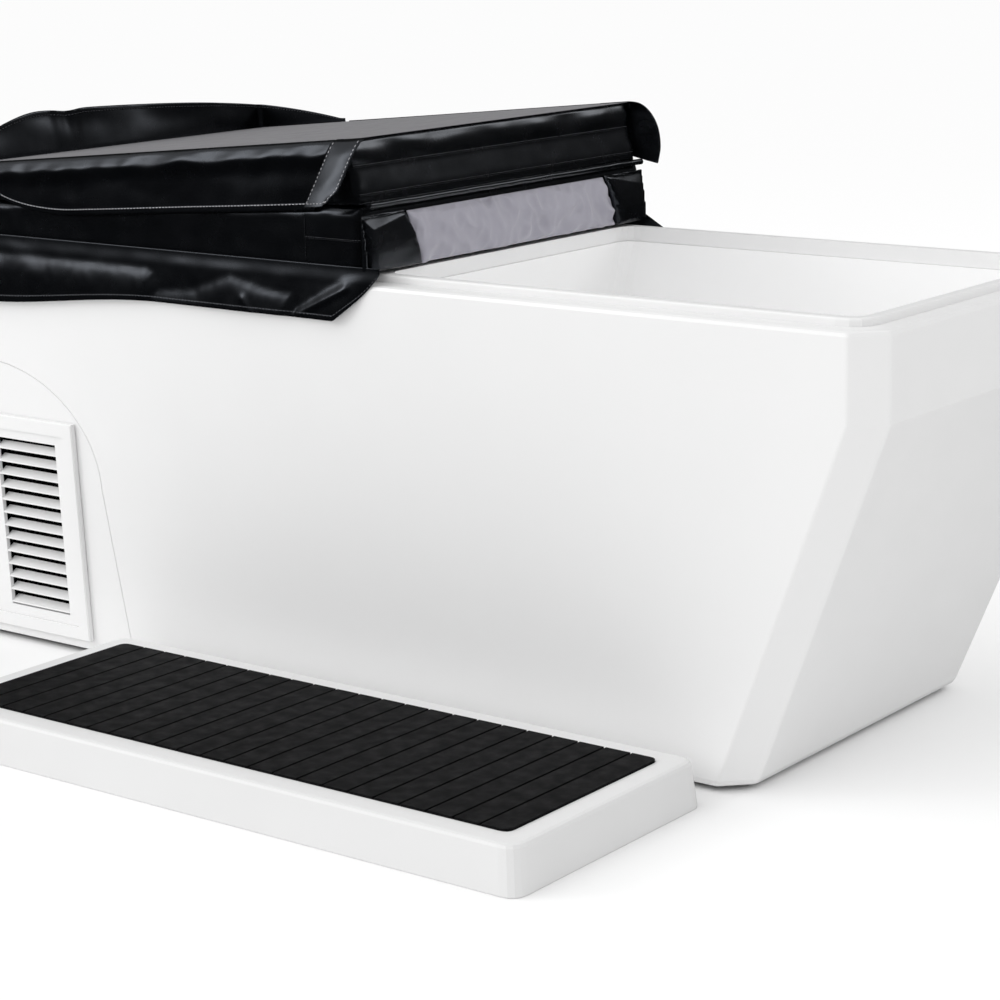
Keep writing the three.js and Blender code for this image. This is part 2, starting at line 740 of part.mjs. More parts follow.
// Corners of a convex outline moved in from each edge
function insetCorners(corners, inset) {
  return corners.map((corner, i) => {
    const before = corners[(i + corners.length - 1) % corners.length].clone().sub(corner).normalize();
    const after = corners[(i + 1) % corners.length].clone().sub(corner).normalize();
    const sine = Math.abs(before.cross(after));
    return corner.clone().add(before.add(after).multiplyScalar(inset / sine));
  });
}

// A padded panel from its side outline, drawn in X and Z from the fold line
function paddedPanel(outline) {
  const corners = outline.map(([x, z]) => new THREE.Vector2(x, z));
  const section = (y, inset) => [y, roundedRing(insetCorners(corners, inset), coverEdgeRound, 3, 0)];
  const rounds = [[0, coverRound], [coverRound * 0.3, coverRound * 0.3], [coverRound, 0]];
  const near = rounds.map(([run, inset]) => section(-panelHalf + run, inset));
  const far = rounds.map(([run, inset]) => section(panelHalf - run, inset)).reverse();
  return skinAcross([...near, ...far]);
}

function upperPanel() {
  const outline = [
    [foldFaceLean, panelFoot], [upperLength, panelFoot], [upperLength, -coverSlope * upperLength - seatGap],
    [foldClear, -coverSlope * foldClear - seatGap],
  ];
  return piece('cover_upper_panel', paddedPanel(outline), black);
}

function lowerPanel() {
  const outline = [
    [-lowerLength, panelFoot], [-foldClear, panelFoot], [-foldClear, -coverSlope * foldClear - seatGap],
    [-lowerLength, -coverSlope * lowerLength - seatGap],
  ];
  return piece('cover_lower_panel', paddedPanel(outline), black);
}

function foldWelt() {
  const roll = bar(vec(0, -panelHalf, 0), vec(0, panelHalf, 0), weltRadius, 12);
  const face = -foldClear + seatGap;
  const tongue = block(vec(face, -panelHalf, -sealTop + seatGap), vec(face + clothThickness, panelHalf, 0));
  return piece('fold_welt', join(roll, tongue), black);
}

// Wedge on the lower panel's fold face, with a crowned front
function foldWedge(near, far, depth, crown) {
  const back = -foldClear + seatGap;
  const top = -sealTop;
  const foot = panelFoot + sealFootGap;
  const steps = 6;
  const section = (y) => {
    const ease = crown * Math.sin(Math.PI * (y - near) / (far - near));
    const points = [new THREE.Vector2(back, top), new THREE.Vector2(back, foot)];
    for (let i = 0; i <= steps; i += 1) {
      const t = i / steps;
      const bulge = Math.sin(Math.PI * t) * (sealBulge + ease);
      const out = back + depth + (sealTopDepth - depth) * t + bulge;
      points.push(new THREE.Vector2(out, foot + (top - foot) * t));
    }
    return [y, points];
  };
  const rows = 12;
  const sections = [];
  for (let j = 0; j <= rows; j += 1) {
    sections.push(section(near + (far - near) * j / rows));
  }
  return skinAcross(sections);
}

function sealPad() {
  return piece('fold_seal_pad', foldWedge(sealNear, sealFar, sealDepth - sealCrown, sealCrown), greyFabric);
}

function nearGusset() {
  return piece('fold_gusset_near', foldWedge(-panelHalf, sealNear - seatGap, gussetDepth, 1), black);
}

function farGusset() {
  return piece('fold_gusset_far', foldWedge(sealFar + seatGap, panelHalf, gussetDepth, 1), black);
}

// Sides of the cover by name
const sideSign = { near: -1, far: 1 };

// Lower skirts hang from the panel's foot, with a loose corner past the fold
function lowerSkirt(side) {
  const sign = sideSign[side];
  const reach = skirtReach[side];
  const surface = (u, v) => {
    const along = sign < 0 ? 1 - u : u;
    const fromFold = -reach + (lowerLength + reach) * along;
    const extra = skirtExtraDrop * smooth((fromFold - skirtExtraStart) / skirtExtraRun);
    const sweep = Math.pow(Math.min(1, (fromFold + reach + 4) / hemCornerRun), 0.75) || 0;
    const fall = v * (skirtLap + skirtDrop + extra) * sweep;
    const loose = smooth((fall - skirtLap) / skirtDrop) * smooth((fromFold - 10) / 60);
    const stray = 0.8 * Math.sin(fromFold / 120);
    const wave = 0.5 - 0.5 * Math.cos(2 * Math.PI * fromFold / skirtFoldLength + stray);
    const out = skirtOut + loose * skirtFold * (0.35 + 0.65 * wave);
    return vec(-fromFold, sign * out, panelFoot + skirtLap - fall);
  };
  return piece(`lower_skirt_${side}`, cloth(surface, 64, 5), black);
}

function lowerEndSkirt() {
  const half = panelHalf - clothThickness;
  const surface = (u, v) => {
    const y = half * (1 - 2 * u);
    const fall = v * (skirtLap + skirtDrop + skirtExtraDrop);
    const loose = smooth((fall - skirtLap) / skirtDrop);
    const wave = 0.5 - 0.5 * Math.cos(2 * Math.PI * (y + half) / skirtFoldLength);
    const out = lowerLength + seatGap + clothThickness / 2 + loose * skirtFold * wave;
    return vec(-out, y, panelFoot + skirtLap - fall);
  };
  return piece('lower_skirt_end', cloth(surface, 40, 5), black);
}

// Upper side flaps are sewn along the foot of the panel and lie turned over against its side
function sideFlap(side) {
  const sign = sideSign[side];
  const start = tabStart[side] + tabWidth + seatGap;
  const endGap = side === 'near' ? flapEndGap : endFlapWrap + flapWrapGap;
  const run = upperLength - endGap - start;
  const surface = (u, v) => {
    const along = sign < 0 ? 1 - u : u;
    const fromStart = run * along;
    const inEnd = Math.min(1, Math.max(0, 1 - (run - fromStart) / flapEndRound));
    const round = 0.15 + 0.85 * Math.sqrt(Math.max(0, 1 - inEnd * inEnd));
    const rise = v * (flapDrop - flapTaper * fromStart) * round;
    const wave = 0.5 - 0.5 * Math.cos(2 * Math.PI * fromStart / flapFoldLength);
    const out = skirtOut + smooth(rise / flapDrop) * flapFold * wave;
    const slant = tabLean[side] * rise * (1 - along);
    return vec(start + fromStart + slant, sign * out, panelFoot + rise);
  };
  return piece(`upper_flap_${side}`, cloth(surface, 44, 5), black);
}

function sideTab(side) {
  const sign = sideSign[side];
  const surface = (u, v) => {
    const along = sign < 0 ? 1 - u : u;
    const rise = v * tabDrop[side];
    const out = skirtOut + tabBow * Math.sin(Math.PI * along) * v;
    return vec(tabStart[side] + tabWidth * along + tabLean[side] * rise, sign * out, panelFoot + rise);
  };
  return piece(`upper_tab_${side}`, cloth(surface, 6, 5), black);
}

// End flap of the upper panel, carried round the far corner
function endFlap() {
  const outX = upperLength + seatGap + clothThickness / 2;
  const outY = skirtOut;
  const start = -panelHalf + endFlapStart;
  const straight = outY - endFlapRound - start;
  const bend = Math.PI / 2;
  const tail = endFlapWrap - endFlapRound;
  const whole = tail + endFlapRound * bend + straight;
  const tailShare = 0.25;
  const bendShare = 0.15;
  const place = (u) => {
    if (u < tailShare) {
      const run = tail * (1 - u / tailShare);
      return [outX - endFlapRound - run, outY, tail - run];
    }
    if (u < tailShare + bendShare) {
      const turn = bend * (1 - (u - tailShare) / bendShare);
      const x = outX - endFlapRound * (1 - Math.cos(turn));
      return [x, outY - endFlapRound * (1 - Math.sin(turn)), tail + endFlapRound * (bend - turn)];
    }
    const run = straight * (u - tailShare - bendShare) / (1 - tailShare - bendShare);
    return [outX, outY - endFlapRound - run, tail + endFlapRound * bend + run];
  };
  const surface = (u, v) => {
    const [x, y, s] = place(u);
    const growth = Math.min(1, 1.1 * (1 - Math.exp(-Math.max(0, s) / endFlapGrowth)));
    const rise = Math.max(0.04, growth) * smooth((whole - s) / endFlapSweep + endFlapNearShare);
    return vec(x, y, panelFoot + skirtLap - v * (skirtLap + endFlapDrop * rise));
  };
  return piece('upper_flap_end', cloth(surface, 48, 4), black);
}

// Chiller
const fanMiddle = archCentre;
const trayFloor = baseTop + trayWall;
const coilNear = trayNear + coilSetback;
const coilFar = coilNear + coilDepth;
const shroudNear = coilFar + seatGap;
const shroudFar = shroudNear + shroudDepth;
const fanHeight = trayFloor + coilHeight / 2;
const fanNear = (shroudNear + shroudFar - fanHubDepth) / 2;
const fanFar = fanNear + fanHubDepth;
const bracketNear = shroudFar + seatGap;
const bracketFar = bracketNear + bracketThickness;

function chillerTray() {
  const pan = block(vec(trayLeft, trayNear, baseTop), vec(trayRight, trayFar, baseTop + trayHeight));
  const hollow = block(vec(trayLeft + trayWall, trayNear + trayWall, trayFloor),
    vec(trayRight - trayWall, trayFar - trayWall, baseTop + trayHeight + cutOverrun));
  return piece('chiller_tray', cut(pan, hollow), zinc);
}

function condenserCoil() {
  const pitch = (coilLength - finThickness) / (finCount - 1);
  const half = coilDepth / 2;
  const web = finWeb / 2;
  const fins = [];
  const shape = new THREE.Shape();
  for (let i = 0; i < finCount; i += 1) {
    const x = -coilLength / 2 + i * pitch;
    fins.push([x, web], [x, half], [x + finThickness, half], [x + finThickness, web]);
  }
  const back = fins.map(([x, y]) => [x, -y]).reverse();
  const points = [...back, ...fins].map(([x, y]) => new THREE.Vector2(x, y));
  shape.setFromPoints(points.reverse());
  const coil = new THREE.ExtrudeGeometry(shape, { depth: coilHeight, bevelEnabled: false });
  return piece('condenser_coil', coil.translate(fanMiddle, (coilNear + coilFar) / 2, trayFloor), alloy);
}

function fanShroud() {
  const half = coilLength / 2;
  const box = block(vec(fanMiddle - half, shroudNear, trayFloor),
    vec(fanMiddle + half, shroudFar, trayFloor + coilHeight));
  const opening = bar(vec(fanMiddle, shroudNear - cutOverrun, fanHeight),
    vec(fanMiddle, shroudFar + cutOverrun, fanHeight), fanOpening, 36);
  return piece('fan_shroud', cut(box, opening), enamel);
}

function fanRotor() {
  const hub = bar(vec(0, 0, 0), vec(0, fanHubDepth, 0), fanHubRadius, 24);
  const blades = [];
  for (let i = 0; i < fanBlades; i += 1) {
    const blade = new THREE.Shape();
    blade.moveTo(fanHubRadius - 6, -fanBladeWidth * 0.25);
    blade.lineTo(fanRadius * 0.9, -fanBladeWidth * 0.5);
    blade.quadraticCurveTo(fanRadius * 0.985, 0, fanRadius * 0.86, fanBladeWidth * 0.45);
    blade.lineTo(fanHubRadius - 6, fanBladeWidth * 0.25);
    blade.closePath();
    const sheet = new THREE.ExtrudeGeometry(blade,
      { depth: fanBladeThickness, bevelEnabled: false, curveSegments: 6 });
    sheet.translate(0, 0, -fanBladeThickness / 2);
    sheet.rotateX(Math.PI / 2 - fanBladePitch);
    sheet.rotateY(2 * Math.PI * i / fanBlades);
    sheet.translate(0, fanHubDepth / 2, 0);
    blades.push(sheet);
  }
  return piece('fan_rotor', join(hub, ...blades).translate(fanMiddle, fanNear, fanHeight), darkPlastic);
}

function fanBracket() {
  const half = coilLength / 2;
  const strap = block(vec(fanMiddle - half, bracketNear, fanHeight - bracketHeight / 2),
    vec(fanMiddle + half, bracketFar, fanHeight + bracketHeight / 2));
  const hole = bar(vec(fanMiddle, bracketNear - cutOverrun, fanHeight),
    vec(fanMiddle, bracketFar + cutOverrun, fanHeight), shaftRadius + 2);
  return piece('fan_bracket', cut(strap, hole), zinc);
}

function fanMotor() {
  const start = bracketFar + seatGap;
  const along = (y) => vec(fanMiddle, y, fanHeight);
  const can = bar(along(start), along(start + motorLength), motorRadius);
  const shaft = bar(along(fanFar + seatGap), along(start + 1), shaftRadius);
  return piece('fan_motor', join(can, shaft), enamel);
}

function compressor() {
  const r = compressorRadius;
  const h = compressorHeight;
  const can = turned([[0, 4], [r * 0.8, 4], [r, 26], [r, h * 0.52], [r * 1.03, h * 0.54],
    [r * 1.03, h * 0.58],
    [r, h * 0.6], [r * 0.97, h * 0.82], [r * 0.72, h * 0.96], [0, h]]);
  const foot = block(vec(-r * 1.15, -r * 0.95, 0), vec(r * 1.15, r * 0.95, 6));
  return piece('compressor', join(can, foot).translate(compressorX, compressorY, trayFloor), enamel);
}

function heatExchanger() {
  const r = exchangerRadius;
  const h = exchangerHeight;
  const proud = r + exchangerBandProud;
  const step = exchangerBandProud;
  const vessel = turned([[0, 0], [proud, 0], [proud, exchangerBand], [r, exchangerBand + step],
    [r, h - exchangerBand - step], [proud, h - exchangerBand], [proud, h - 3 * step], [r * 0.9, h], [0, h]]);
  return piece('heat_exchanger', vessel.translate(exchangerX, waterLineY, trayFloor), pipeWhite);
}

function controlBox() {
  const half = controlSize.x / 2;
  return piece('control_box', block(vec(controlX - half, controlNear, baseTop),
    vec(controlX + half, controlFar, baseTop + controlSize.z)), darkPlastic);
}

// Water circuit
function filterHousing() {
  const r = filterRadius;
  const inner = r - filterWall;
  const can = turned([[0, 0], [r, 0], [r, filterHeight], [inner, filterHeight], [inner, filterWall],
    [0, filterWall]]);
  return piece('filter_housing', can.translate(filterX, filterY, baseTop), darkPlastic);
}

function filterCartridge() {
  const length = filterHeight - 2 * filterWall;
  const sleeve = turned([[cartridgeCore, 0], [cartridgeRadius, 0], [cartridgeRadius, length],
    [cartridgeCore, length],
    [cartridgeCore, 0]]);
  return piece('filter_cartridge', sleeve.translate(filterX, filterY, baseTop + filterWall), paper);
}

function filterLid() {
  const r = filterLidRadius;
  const h = filterLidHeight;
  const cap = turned([[0, 0], [r, 0], [r, h * 0.6], [r * 0.8, h], [0, h]], 16);
  return piece('filter_lid', cap.translate(filterX, filterY, baseTop + filterHeight + seatGap), darkPlastic);
}

function circulationPump() {
  const volute = bar(vec(filterX - voluteDepth / 2, waterLineY, pumpLine),
    vec(filterX + voluteDepth / 2, waterLineY, pumpLine), voluteRadius, 28);
  const motor = bar(vec(filterX + voluteDepth / 2 - 1, waterLineY, pumpLine),
    vec(filterX + voluteDepth / 2 + pumpMotorLength, waterLineY, pumpLine), pumpMotorRadius, 24);
  const foot = block(vec(filterX - voluteDepth / 2, waterLineY - voluteRadius * 0.7, baseTop),
    vec(filterX + voluteDepth / 2 + pumpMotorLength, waterLineY + voluteRadius * 0.7,
      pumpLine - pumpMotorRadius + 8));
  return piece('circulation_pump', join(volute, motor, foot), darkPlastic);
}

// Where a fitting's tail ends in the bay, clear of the foam
function tailEnd(z) {
  return basinLeft(z) - linerWall - foamThickness - 20;
}

function wallFitting(name, y, z) {
  const face = basinLeft(z) + basinStep;
  const lean = Math.atan(basinEndLean);
  const flange = bar(vec(seatGap, 0, 0), vec(fittingFlangeDepth, 0, 0), fittingFlange, 24).rotateY(lean)
    .translate(face, y, z);
  const tail = bar(vec(tailEnd(z), y, z), vec(face + seatGap + 1, y, z), fittingTail);
  return piece(name, join(flange, tail), pipeWhite);
}

function suctionPipe() {
  return piece('suction_pipe', bar(vec(filterX + filterRadius + seatGap, filterY, suctionHeight),
    vec(tailEnd(suctionHeight) - seatGap, filterY, suctionHeight), pipeRadius, 16), pipeWhite);
}

function pumpPipe() {
  return piece('pump_pipe', bar(vec(filterX, filterY + filterRadius + seatGap, pumpLine),
    vec(filterX, waterLineY - voluteRadius - seatGap, pumpLine), pipeRadius, 16), pipeWhite);
}

function feedPipe() {
  return piece('feed_pipe', bar(vec(exchangerX + exchangerRadius + seatGap, waterLineY, pumpLine),
    vec(filterX - voluteDepth / 2 - seatGap, waterLineY, pumpLine), pipeRadius, 16), pipeWhite);
}

function returnPipe() {
  return piece('return_pipe', bar(vec(exchangerX + exchangerRadius + seatGap, waterLineY, returnHeight),
    vec(tailEnd(returnHeight) - seatGap, waterLineY, returnHeight), pipeRadius, 16), pipeWhite);
}

// Drain
const valveNear = halfWidth(drainHeight) + drainPipeRadius;
const valveMiddle = valveNear + valveLength / 2;
const stemTop = drainHeight + valveRadius + stemHeight;

function drainFitting() {
  const at = (z) => vec(drainX, drainY, z);
  const flange = bar(at(basinFloor + seatGap), at(basinFloor + 4), drainFlange, 24);
  const tail = bar(at(drainHeight - drainTail), at(basinFloor + 2), drainTail);
  return piece('drain_fitting', join(flange, tail), pipeWhite);
}

function drainPipe() {
  return piece('drain_pipe', bar(vec(drainX, drainY + drainTail + seatGap, drainHeight),
    vec(drainX, valveNear - seatGap, drainHeight), drainPipeRadius, 16), pipeWhite);
}

function drainValve() {
  const barrel = bar(vec(drainX, valveNear, drainHeight), vec(drainX, valveNear + valveLength, drainHeight),
    valveRadius, 6);
  const nose = bar(vec(drainX, valveNear + valveLength - 1, drainHeight),
    vec(drainX, valveNear + valveLength + 16, drainHeight), drainPipeRadius, 16);
  const stem = bar(vec(drainX, valveMiddle, drainHeight), vec(drainX, valveMiddle, stemTop), stemRadius, 16);
  return piece('drain_valve', join(barrel, nose, stem), steel);
}

function drainLever() {
  const low = stemTop + seatGap;
  const shape = new THREE.Shape();
  shape.moveTo(-leverWidth / 2, -leverWidth / 2);
  shape.lineTo(leverLength - leverWidth / 2, -leverWidth / 2);
  shape.absarc(leverLength - leverWidth / 2, 0, leverWidth / 2, -Math.PI / 2, Math.PI / 2, false);
  shape.lineTo(-leverWidth / 2, leverWidth / 2);
  shape.closePath();
  const lever = new THREE.ExtrudeGeometry(shape,
    { depth: leverThickness, bevelEnabled: false, curveSegments: 8 });
  return piece('drain_lever', lever.translate(drainX, valveMiddle, low), leverRed);
}

// Step
function stepRing(z, inset, corner) {
  const run = stepDraft * z;
  const halfX = stepLength / 2 - run - inset;
  const halfY = stepDepth / 2 - run - inset;
  return rectangleRing(-halfX, halfX, -halfY, halfY, corner, z);
}

const matHalfX = stepLength / 2 - stepDraft * stepHeight - matMargin;
const matHalfY = stepDepth / 2 - stepDraft * stepHeight - matMargin;

function stepTray() {
  const outside = loft([
    stepRing(0, 1.5, stepCorner),
    stepRing(2, 0, stepCorner),
    stepRing(stepHeight - stepTopRound, 0, stepCorner),
    stepRing(stepHeight - stepTopRound * 0.3, stepTopRound * 0.3, stepCorner),
    stepRing(stepHeight, stepTopRound, stepCorner),
  ]);
  const hollow = loft([
    stepRing(-cutOverrun, stepWall, stepCorner - stepWall),
    stepRing(stepHeight - matRecess - stepWall, stepWall, stepCorner - stepWall),
  ]);
  const recessRing = (z) => rectangleRing(
    -matHalfX - 1, matHalfX + 1, -matHalfY - 1, matHalfY + 1, matCorner + 1, z);
  const recess = loft([recessRing(stepHeight - matRecess), recessRing(stepHeight + cutOverrun)]);
  return piece('step_tray', cut(outside, hollow, recess).translate(stepCentreX, stepCentreY, 0), white);
}

function stepMat() {
  const low = stepHeight - matRecess;
  const top = low + matThickness;
  const pitch = 2 * matHalfX / matStrips;
  const outline = [[-matHalfX, low], [matHalfX, low], [matHalfX, top]];
  for (let i = matStrips - 1; i > 0; i -= 1) {
    const x = -matHalfX + i * pitch;
    const half = matGroove / 2;
    const groove = top - matGrooveDepth;
    outline.push([x + half, top], [x + half, groove], [x - half, groove], [x - half, top]);
  }
  outline.push([-matHalfX, top]);
  const shape = new THREE.Shape(outline.map(([x, z]) => new THREE.Vector2(x, z)));
  const strips = new THREE.ExtrudeGeometry(shape, { depth: 2 * matHalfY, bevelEnabled: false })
    .rotateX(Math.PI / 2)
    .translate(0, matHalfY, 0);
  const plan = (z) => rectangleRing(-matHalfX, matHalfX, -matHalfY, matHalfY, matCorner, z);
  const rounded = common(strips, loft([plan(low - 1), plan(top + 1)]));
  return piece('step_mat', rounded.translate(stepCentreX, stepCentreY, 0), matBlack);
}

// Assembly
const tub = new THREE.Group();
tub.add(outerShell(), rimDeck(), basinLiner(), basinInsulation(), baseBoard());
tub.add(...Object.keys(runnerPlaces).map(baseRunner));

nearFace.add(servicePanel(), louvreFrame(), louvreGrille());

coverBase.add(lowerPanel(), foldWelt(), sealPad(), nearGusset(), farGusset());
coverBase.add(lowerSkirt('near'), lowerSkirt('far'), lowerEndSkirt());
coverTop.add(upperPanel(), endFlap());
coverTop.add(sideFlap('near'), sideTab('near'), sideFlap('far'), sideTab('far'));

const bay = new THREE.Group();
bay.add(chillerTray(), condenserCoil(), fanShroud(), fanRotor(), fanBracket(), fanMotor());
bay.add(compressor(), heatExchanger(), controlBox());
bay.add(filterHousing(), filterCartridge(), filterLid(), circulationPump());
bay.add(suctionPipe(), pumpPipe(), feedPipe(), returnPipe());
bay.add(wallFitting('suction_fitting', filterY, suctionHeight));
bay.add(wallFitting('return_fitting', waterLineY, returnHeight));
bay.add(drainFitting(), drainPipe(), drainValve(), drainLever());

const step = new THREE.Group();
step.add(stepTray(), stepMat());

const assembly = new THREE.Group();
assembly.add(tub, nearFace, coverBase, coverTop, bay, step);

export default assembly;
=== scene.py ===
import math

import bmesh
import bpy
from mathutils import Matrix, Vector, noise
from mathutils.bvhtree import BVHTree


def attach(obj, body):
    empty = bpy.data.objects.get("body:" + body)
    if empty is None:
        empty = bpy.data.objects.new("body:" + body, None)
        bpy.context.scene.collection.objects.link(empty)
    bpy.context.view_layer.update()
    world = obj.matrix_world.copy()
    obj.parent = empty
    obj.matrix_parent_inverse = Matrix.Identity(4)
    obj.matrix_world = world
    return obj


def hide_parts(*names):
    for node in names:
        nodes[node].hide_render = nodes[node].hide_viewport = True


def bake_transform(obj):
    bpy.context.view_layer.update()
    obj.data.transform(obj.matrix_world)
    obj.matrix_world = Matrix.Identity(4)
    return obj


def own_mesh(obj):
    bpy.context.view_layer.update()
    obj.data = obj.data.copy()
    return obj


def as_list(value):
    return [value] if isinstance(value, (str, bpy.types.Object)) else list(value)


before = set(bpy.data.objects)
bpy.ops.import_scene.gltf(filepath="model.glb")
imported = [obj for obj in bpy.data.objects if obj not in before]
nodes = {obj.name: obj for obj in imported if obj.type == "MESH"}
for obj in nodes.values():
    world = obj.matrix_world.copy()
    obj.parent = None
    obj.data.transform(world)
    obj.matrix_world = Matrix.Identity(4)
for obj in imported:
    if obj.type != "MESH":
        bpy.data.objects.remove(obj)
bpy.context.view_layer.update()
mm = 0.001
print("frame loaded:", len(nodes), "nodes")


# Camera at the photograph's angle, roll included
view = {"place": (2.8040, -3.4666, 1.3061), "yaw": 37.373, "pitch": 13.113, "roll": -1.056, "lens": 96.03,
        "sensor": 36.0, "reach": 200.0}


def makeCamera(settings):
    yaw, pitch, roll = (math.radians(settings[key]) for key in ("yaw", "pitch", "roll"))
    ahead = Vector((-math.sin(yaw) * math.cos(pitch), math.cos(yaw) * math.cos(pitch), -math.sin(pitch)))
    level = Vector((math.cos(yaw), math.sin(yaw), 0))
    above = level.cross(ahead)
    right = level * math.cos(roll) + above * math.sin(roll)
    up = above * math.cos(roll) - level * math.sin(roll)
    turn = Matrix((right, up, -ahead)).transposed().to_4x4()
    data = bpy.data.cameras.new("camera")
    data.lens = settings["lens"]
    data.sensor_width = settings["sensor"]
    data.clip_end = settings["reach"]
    camera = bpy.data.objects.new("camera", data)
    camera.matrix_world = Matrix.Translation(settings["place"]) @ turn
    bpy.context.scene.collection.objects.link(camera)
    bpy.context.scene.camera = camera


makeCamera(view)


# Shared helpers
def linear(hexCode):
    parts = [int(hexCode[i:i + 2], 16) / 255 for i in (1, 3, 5)]
    return tuple(c / 12.92 if c <= 0.04045 else ((c + 0.055) / 1.055) ** 2.4 for c in parts) + (1.0,)


def addNode(tree, kind, inputs=None, **settings):
    node = tree.nodes.new(kind)
    for key, value in settings.items():
        setattr(node, key, value)
    for key, value in (inputs or {}).items():
        if isinstance(value, bpy.types.NodeSocket):
            tree.links.new(value, node.inputs[key])
        else:
            node.inputs[key].default_value = value
    return node


def newMaterial(name):
    material = bpy.data.materials.new(name)
    material.use_nodes = True
    tree = material.node_tree
    return material, tree, tree.nodes["Principled BSDF"]


def newPiece(name, mesh, material):
    piece = bpy.data.objects.new(name, mesh)
    bpy.context.scene.collection.objects.link(piece)
    mesh.materials.clear()
    mesh.materials.append(material)
    return piece


def meshFrom(bm, name):
    mesh = bpy.data.meshes.new(name)
    bm.to_mesh(mesh)
    bm.free()
    mesh.shade_smooth()
    return mesh


def ease(t):
    held = min(1.0, max(0.0, t))
    return held * held * (3 - 2 * held)


def easedFrom(value, start, run):
    return ease((value - start) / run)


def hump(value, height, middle, width):
    return height * math.exp(-((value - middle) / width) ** 2)


def ripple(x, y, seed):
    return noise.noise(Vector((x, y, seed)))


def wrinkled(own, a, b):
    # own is a wrinkle's height, its size along a, its size along b and its seed
    height, sizeA, sizeB, seed = own
    return height * ripple(a / sizeA, b / sizeB, seed)


# Materials; each grain gives sizes in millimetres, and bumps as strength and depth in millimetres
noiseRange = {"From Min": 0.3, "From Max": 0.7}
plasticGrain = {"drift": 160, "gloss": 45, "peel": 4.5, "peelBump": (0.025, 0.25), "wave": 70,
                "waveBump": (0.03, 0.5), "index": 1.51}
vinylGrain = {"drift": 60, "gloss": 30, "pebble": 1.8, "pebbleBump": (0.06, 0.12), "wave": 24,
              "waveBump": (0.018, 0.7), "index": 1.53, "specular": 0.42, "shine": "#e4ecfa"}
weaveGrain = {"thread": 2.0, "period": 0.314, "sway": 0.4, "drift": 35, "gloss": 20, "rough": (0.52, 0.68),
              "threadBump": (0.2, 0.3), "slack": 18, "slackBump": (0.15, 1.0), "sheen": 0.25,
              "sheenRough": 0.45}
foamGrain = {"drift": 50, "gloss": 25, "rough": (0.62, 0.8), "pip": 2.4, "pipBump": (0.3, 0.4),
             "specular": 0.1}
metalGrain = {"gloss": 12, "smoother": 0.06, "rougher": 0.1}
plainGrain = {"driftTimes": 12, "glossTimes": 5, "strength": 0.2}


def surfacePlace(tree):
    return addNode(tree, "ShaderNodeTexCoord").outputs["Object"]


def mottled(tree, size, low, high):
    # a value between low and high that drifts over the surface at the given size
    inputs = {"Vector": surfacePlace(tree), "Scale": 1 / (size * mm), "Detail": 2.0}
    cloud = addNode(tree, "ShaderNodeTexNoise", inputs).outputs["Fac"]
    limits = {**noiseRange, "To Min": low, "To Max": high}
    return addNode(tree, "ShaderNodeMapRange", {"Value": cloud, **limits}).outputs["Result"]


def celled(tree, size):
    return addNode(tree, "ShaderNodeTexVoronoi", {"Vector": surfacePlace(tree), "Scale": 1 / (size * mm)})


def multiplied(tree, first, second):
    return addNode(tree, "ShaderNodeMath", {0: first, 1: second}, operation="MULTIPLY").outputs["Value"]


def tinted(tree, amount, first, second):
    blend = addNode(tree, "ShaderNodeMix", {"Factor": amount}, data_type="RGBA")
    blend.inputs[6].default_value = linear(first)
    blend.inputs[7].default_value = linear(second)
    return blend.outputs[2]


def bumped(tree, height, strength, depth, normal=None):
    inputs = {"Height": height, "Strength": strength, "Distance": depth * mm}
    if normal is not None:
        inputs["Normal"] = normal
    return addNode(tree, "ShaderNodeBump", inputs).outputs["Normal"]


def coloured(tree, shader, drift, gloss, tints, rough):
    # colour and roughness that drift over the surface at the two sizes
    tree.links.new(tinted(tree, mottled(tree, drift, 0, 1), *tints), shader.inputs["Base Color"])
    tree.links.new(mottled(tree, gloss, *rough), shader.inputs["Roughness"])


def mouldedPlastic(name, light, shade, roughLow, roughHigh):
    # rotationally moulded polyethylene: satin, with an orange peel that is drawn coarser than its 1.5 mm
    grain = plasticGrain
    material, tree, shader = newMaterial(name)
    coloured(tree, shader, grain["drift"], grain["gloss"], (light, shade), (roughLow, roughHigh))
    peel = bumped(tree, mottled(tree, grain["peel"], 0, 1), *grain["peelBump"])
    wave = bumped(tree, mottled(tree, grain["wave"], 0, 1), *grain["waveBump"], peel)
    tree.links.new(wave, shader.inputs["Normal"])
    shader.inputs["IOR"].default_value = grain["index"]
    return material


def coatedVinyl(name, light, shade, roughLow, roughHigh):
    # PVC-coated polyester: black, soft sheen, pebbled calender grain that is drawn coarser than its 1 mm
    grain = vinylGrain
    material, tree, shader = newMaterial(name)
    coloured(tree, shader, grain["drift"], grain["gloss"], (light, shade), (roughLow, roughHigh))
    pebble = bumped(tree, celled(tree, grain["pebble"]).outputs["Distance"], *grain["pebbleBump"])
    wave = bumped(tree, mottled(tree, grain["wave"], 0, 1), *grain["waveBump"], pebble)
    tree.links.new(wave, shader.inputs["Normal"])
    shader.inputs["IOR"].default_value = grain["index"]
    shader.inputs["Specular IOR Level"].default_value = grain["specular"]
    shader.inputs["Specular Tint"].default_value = linear(grain["shine"])
    return material


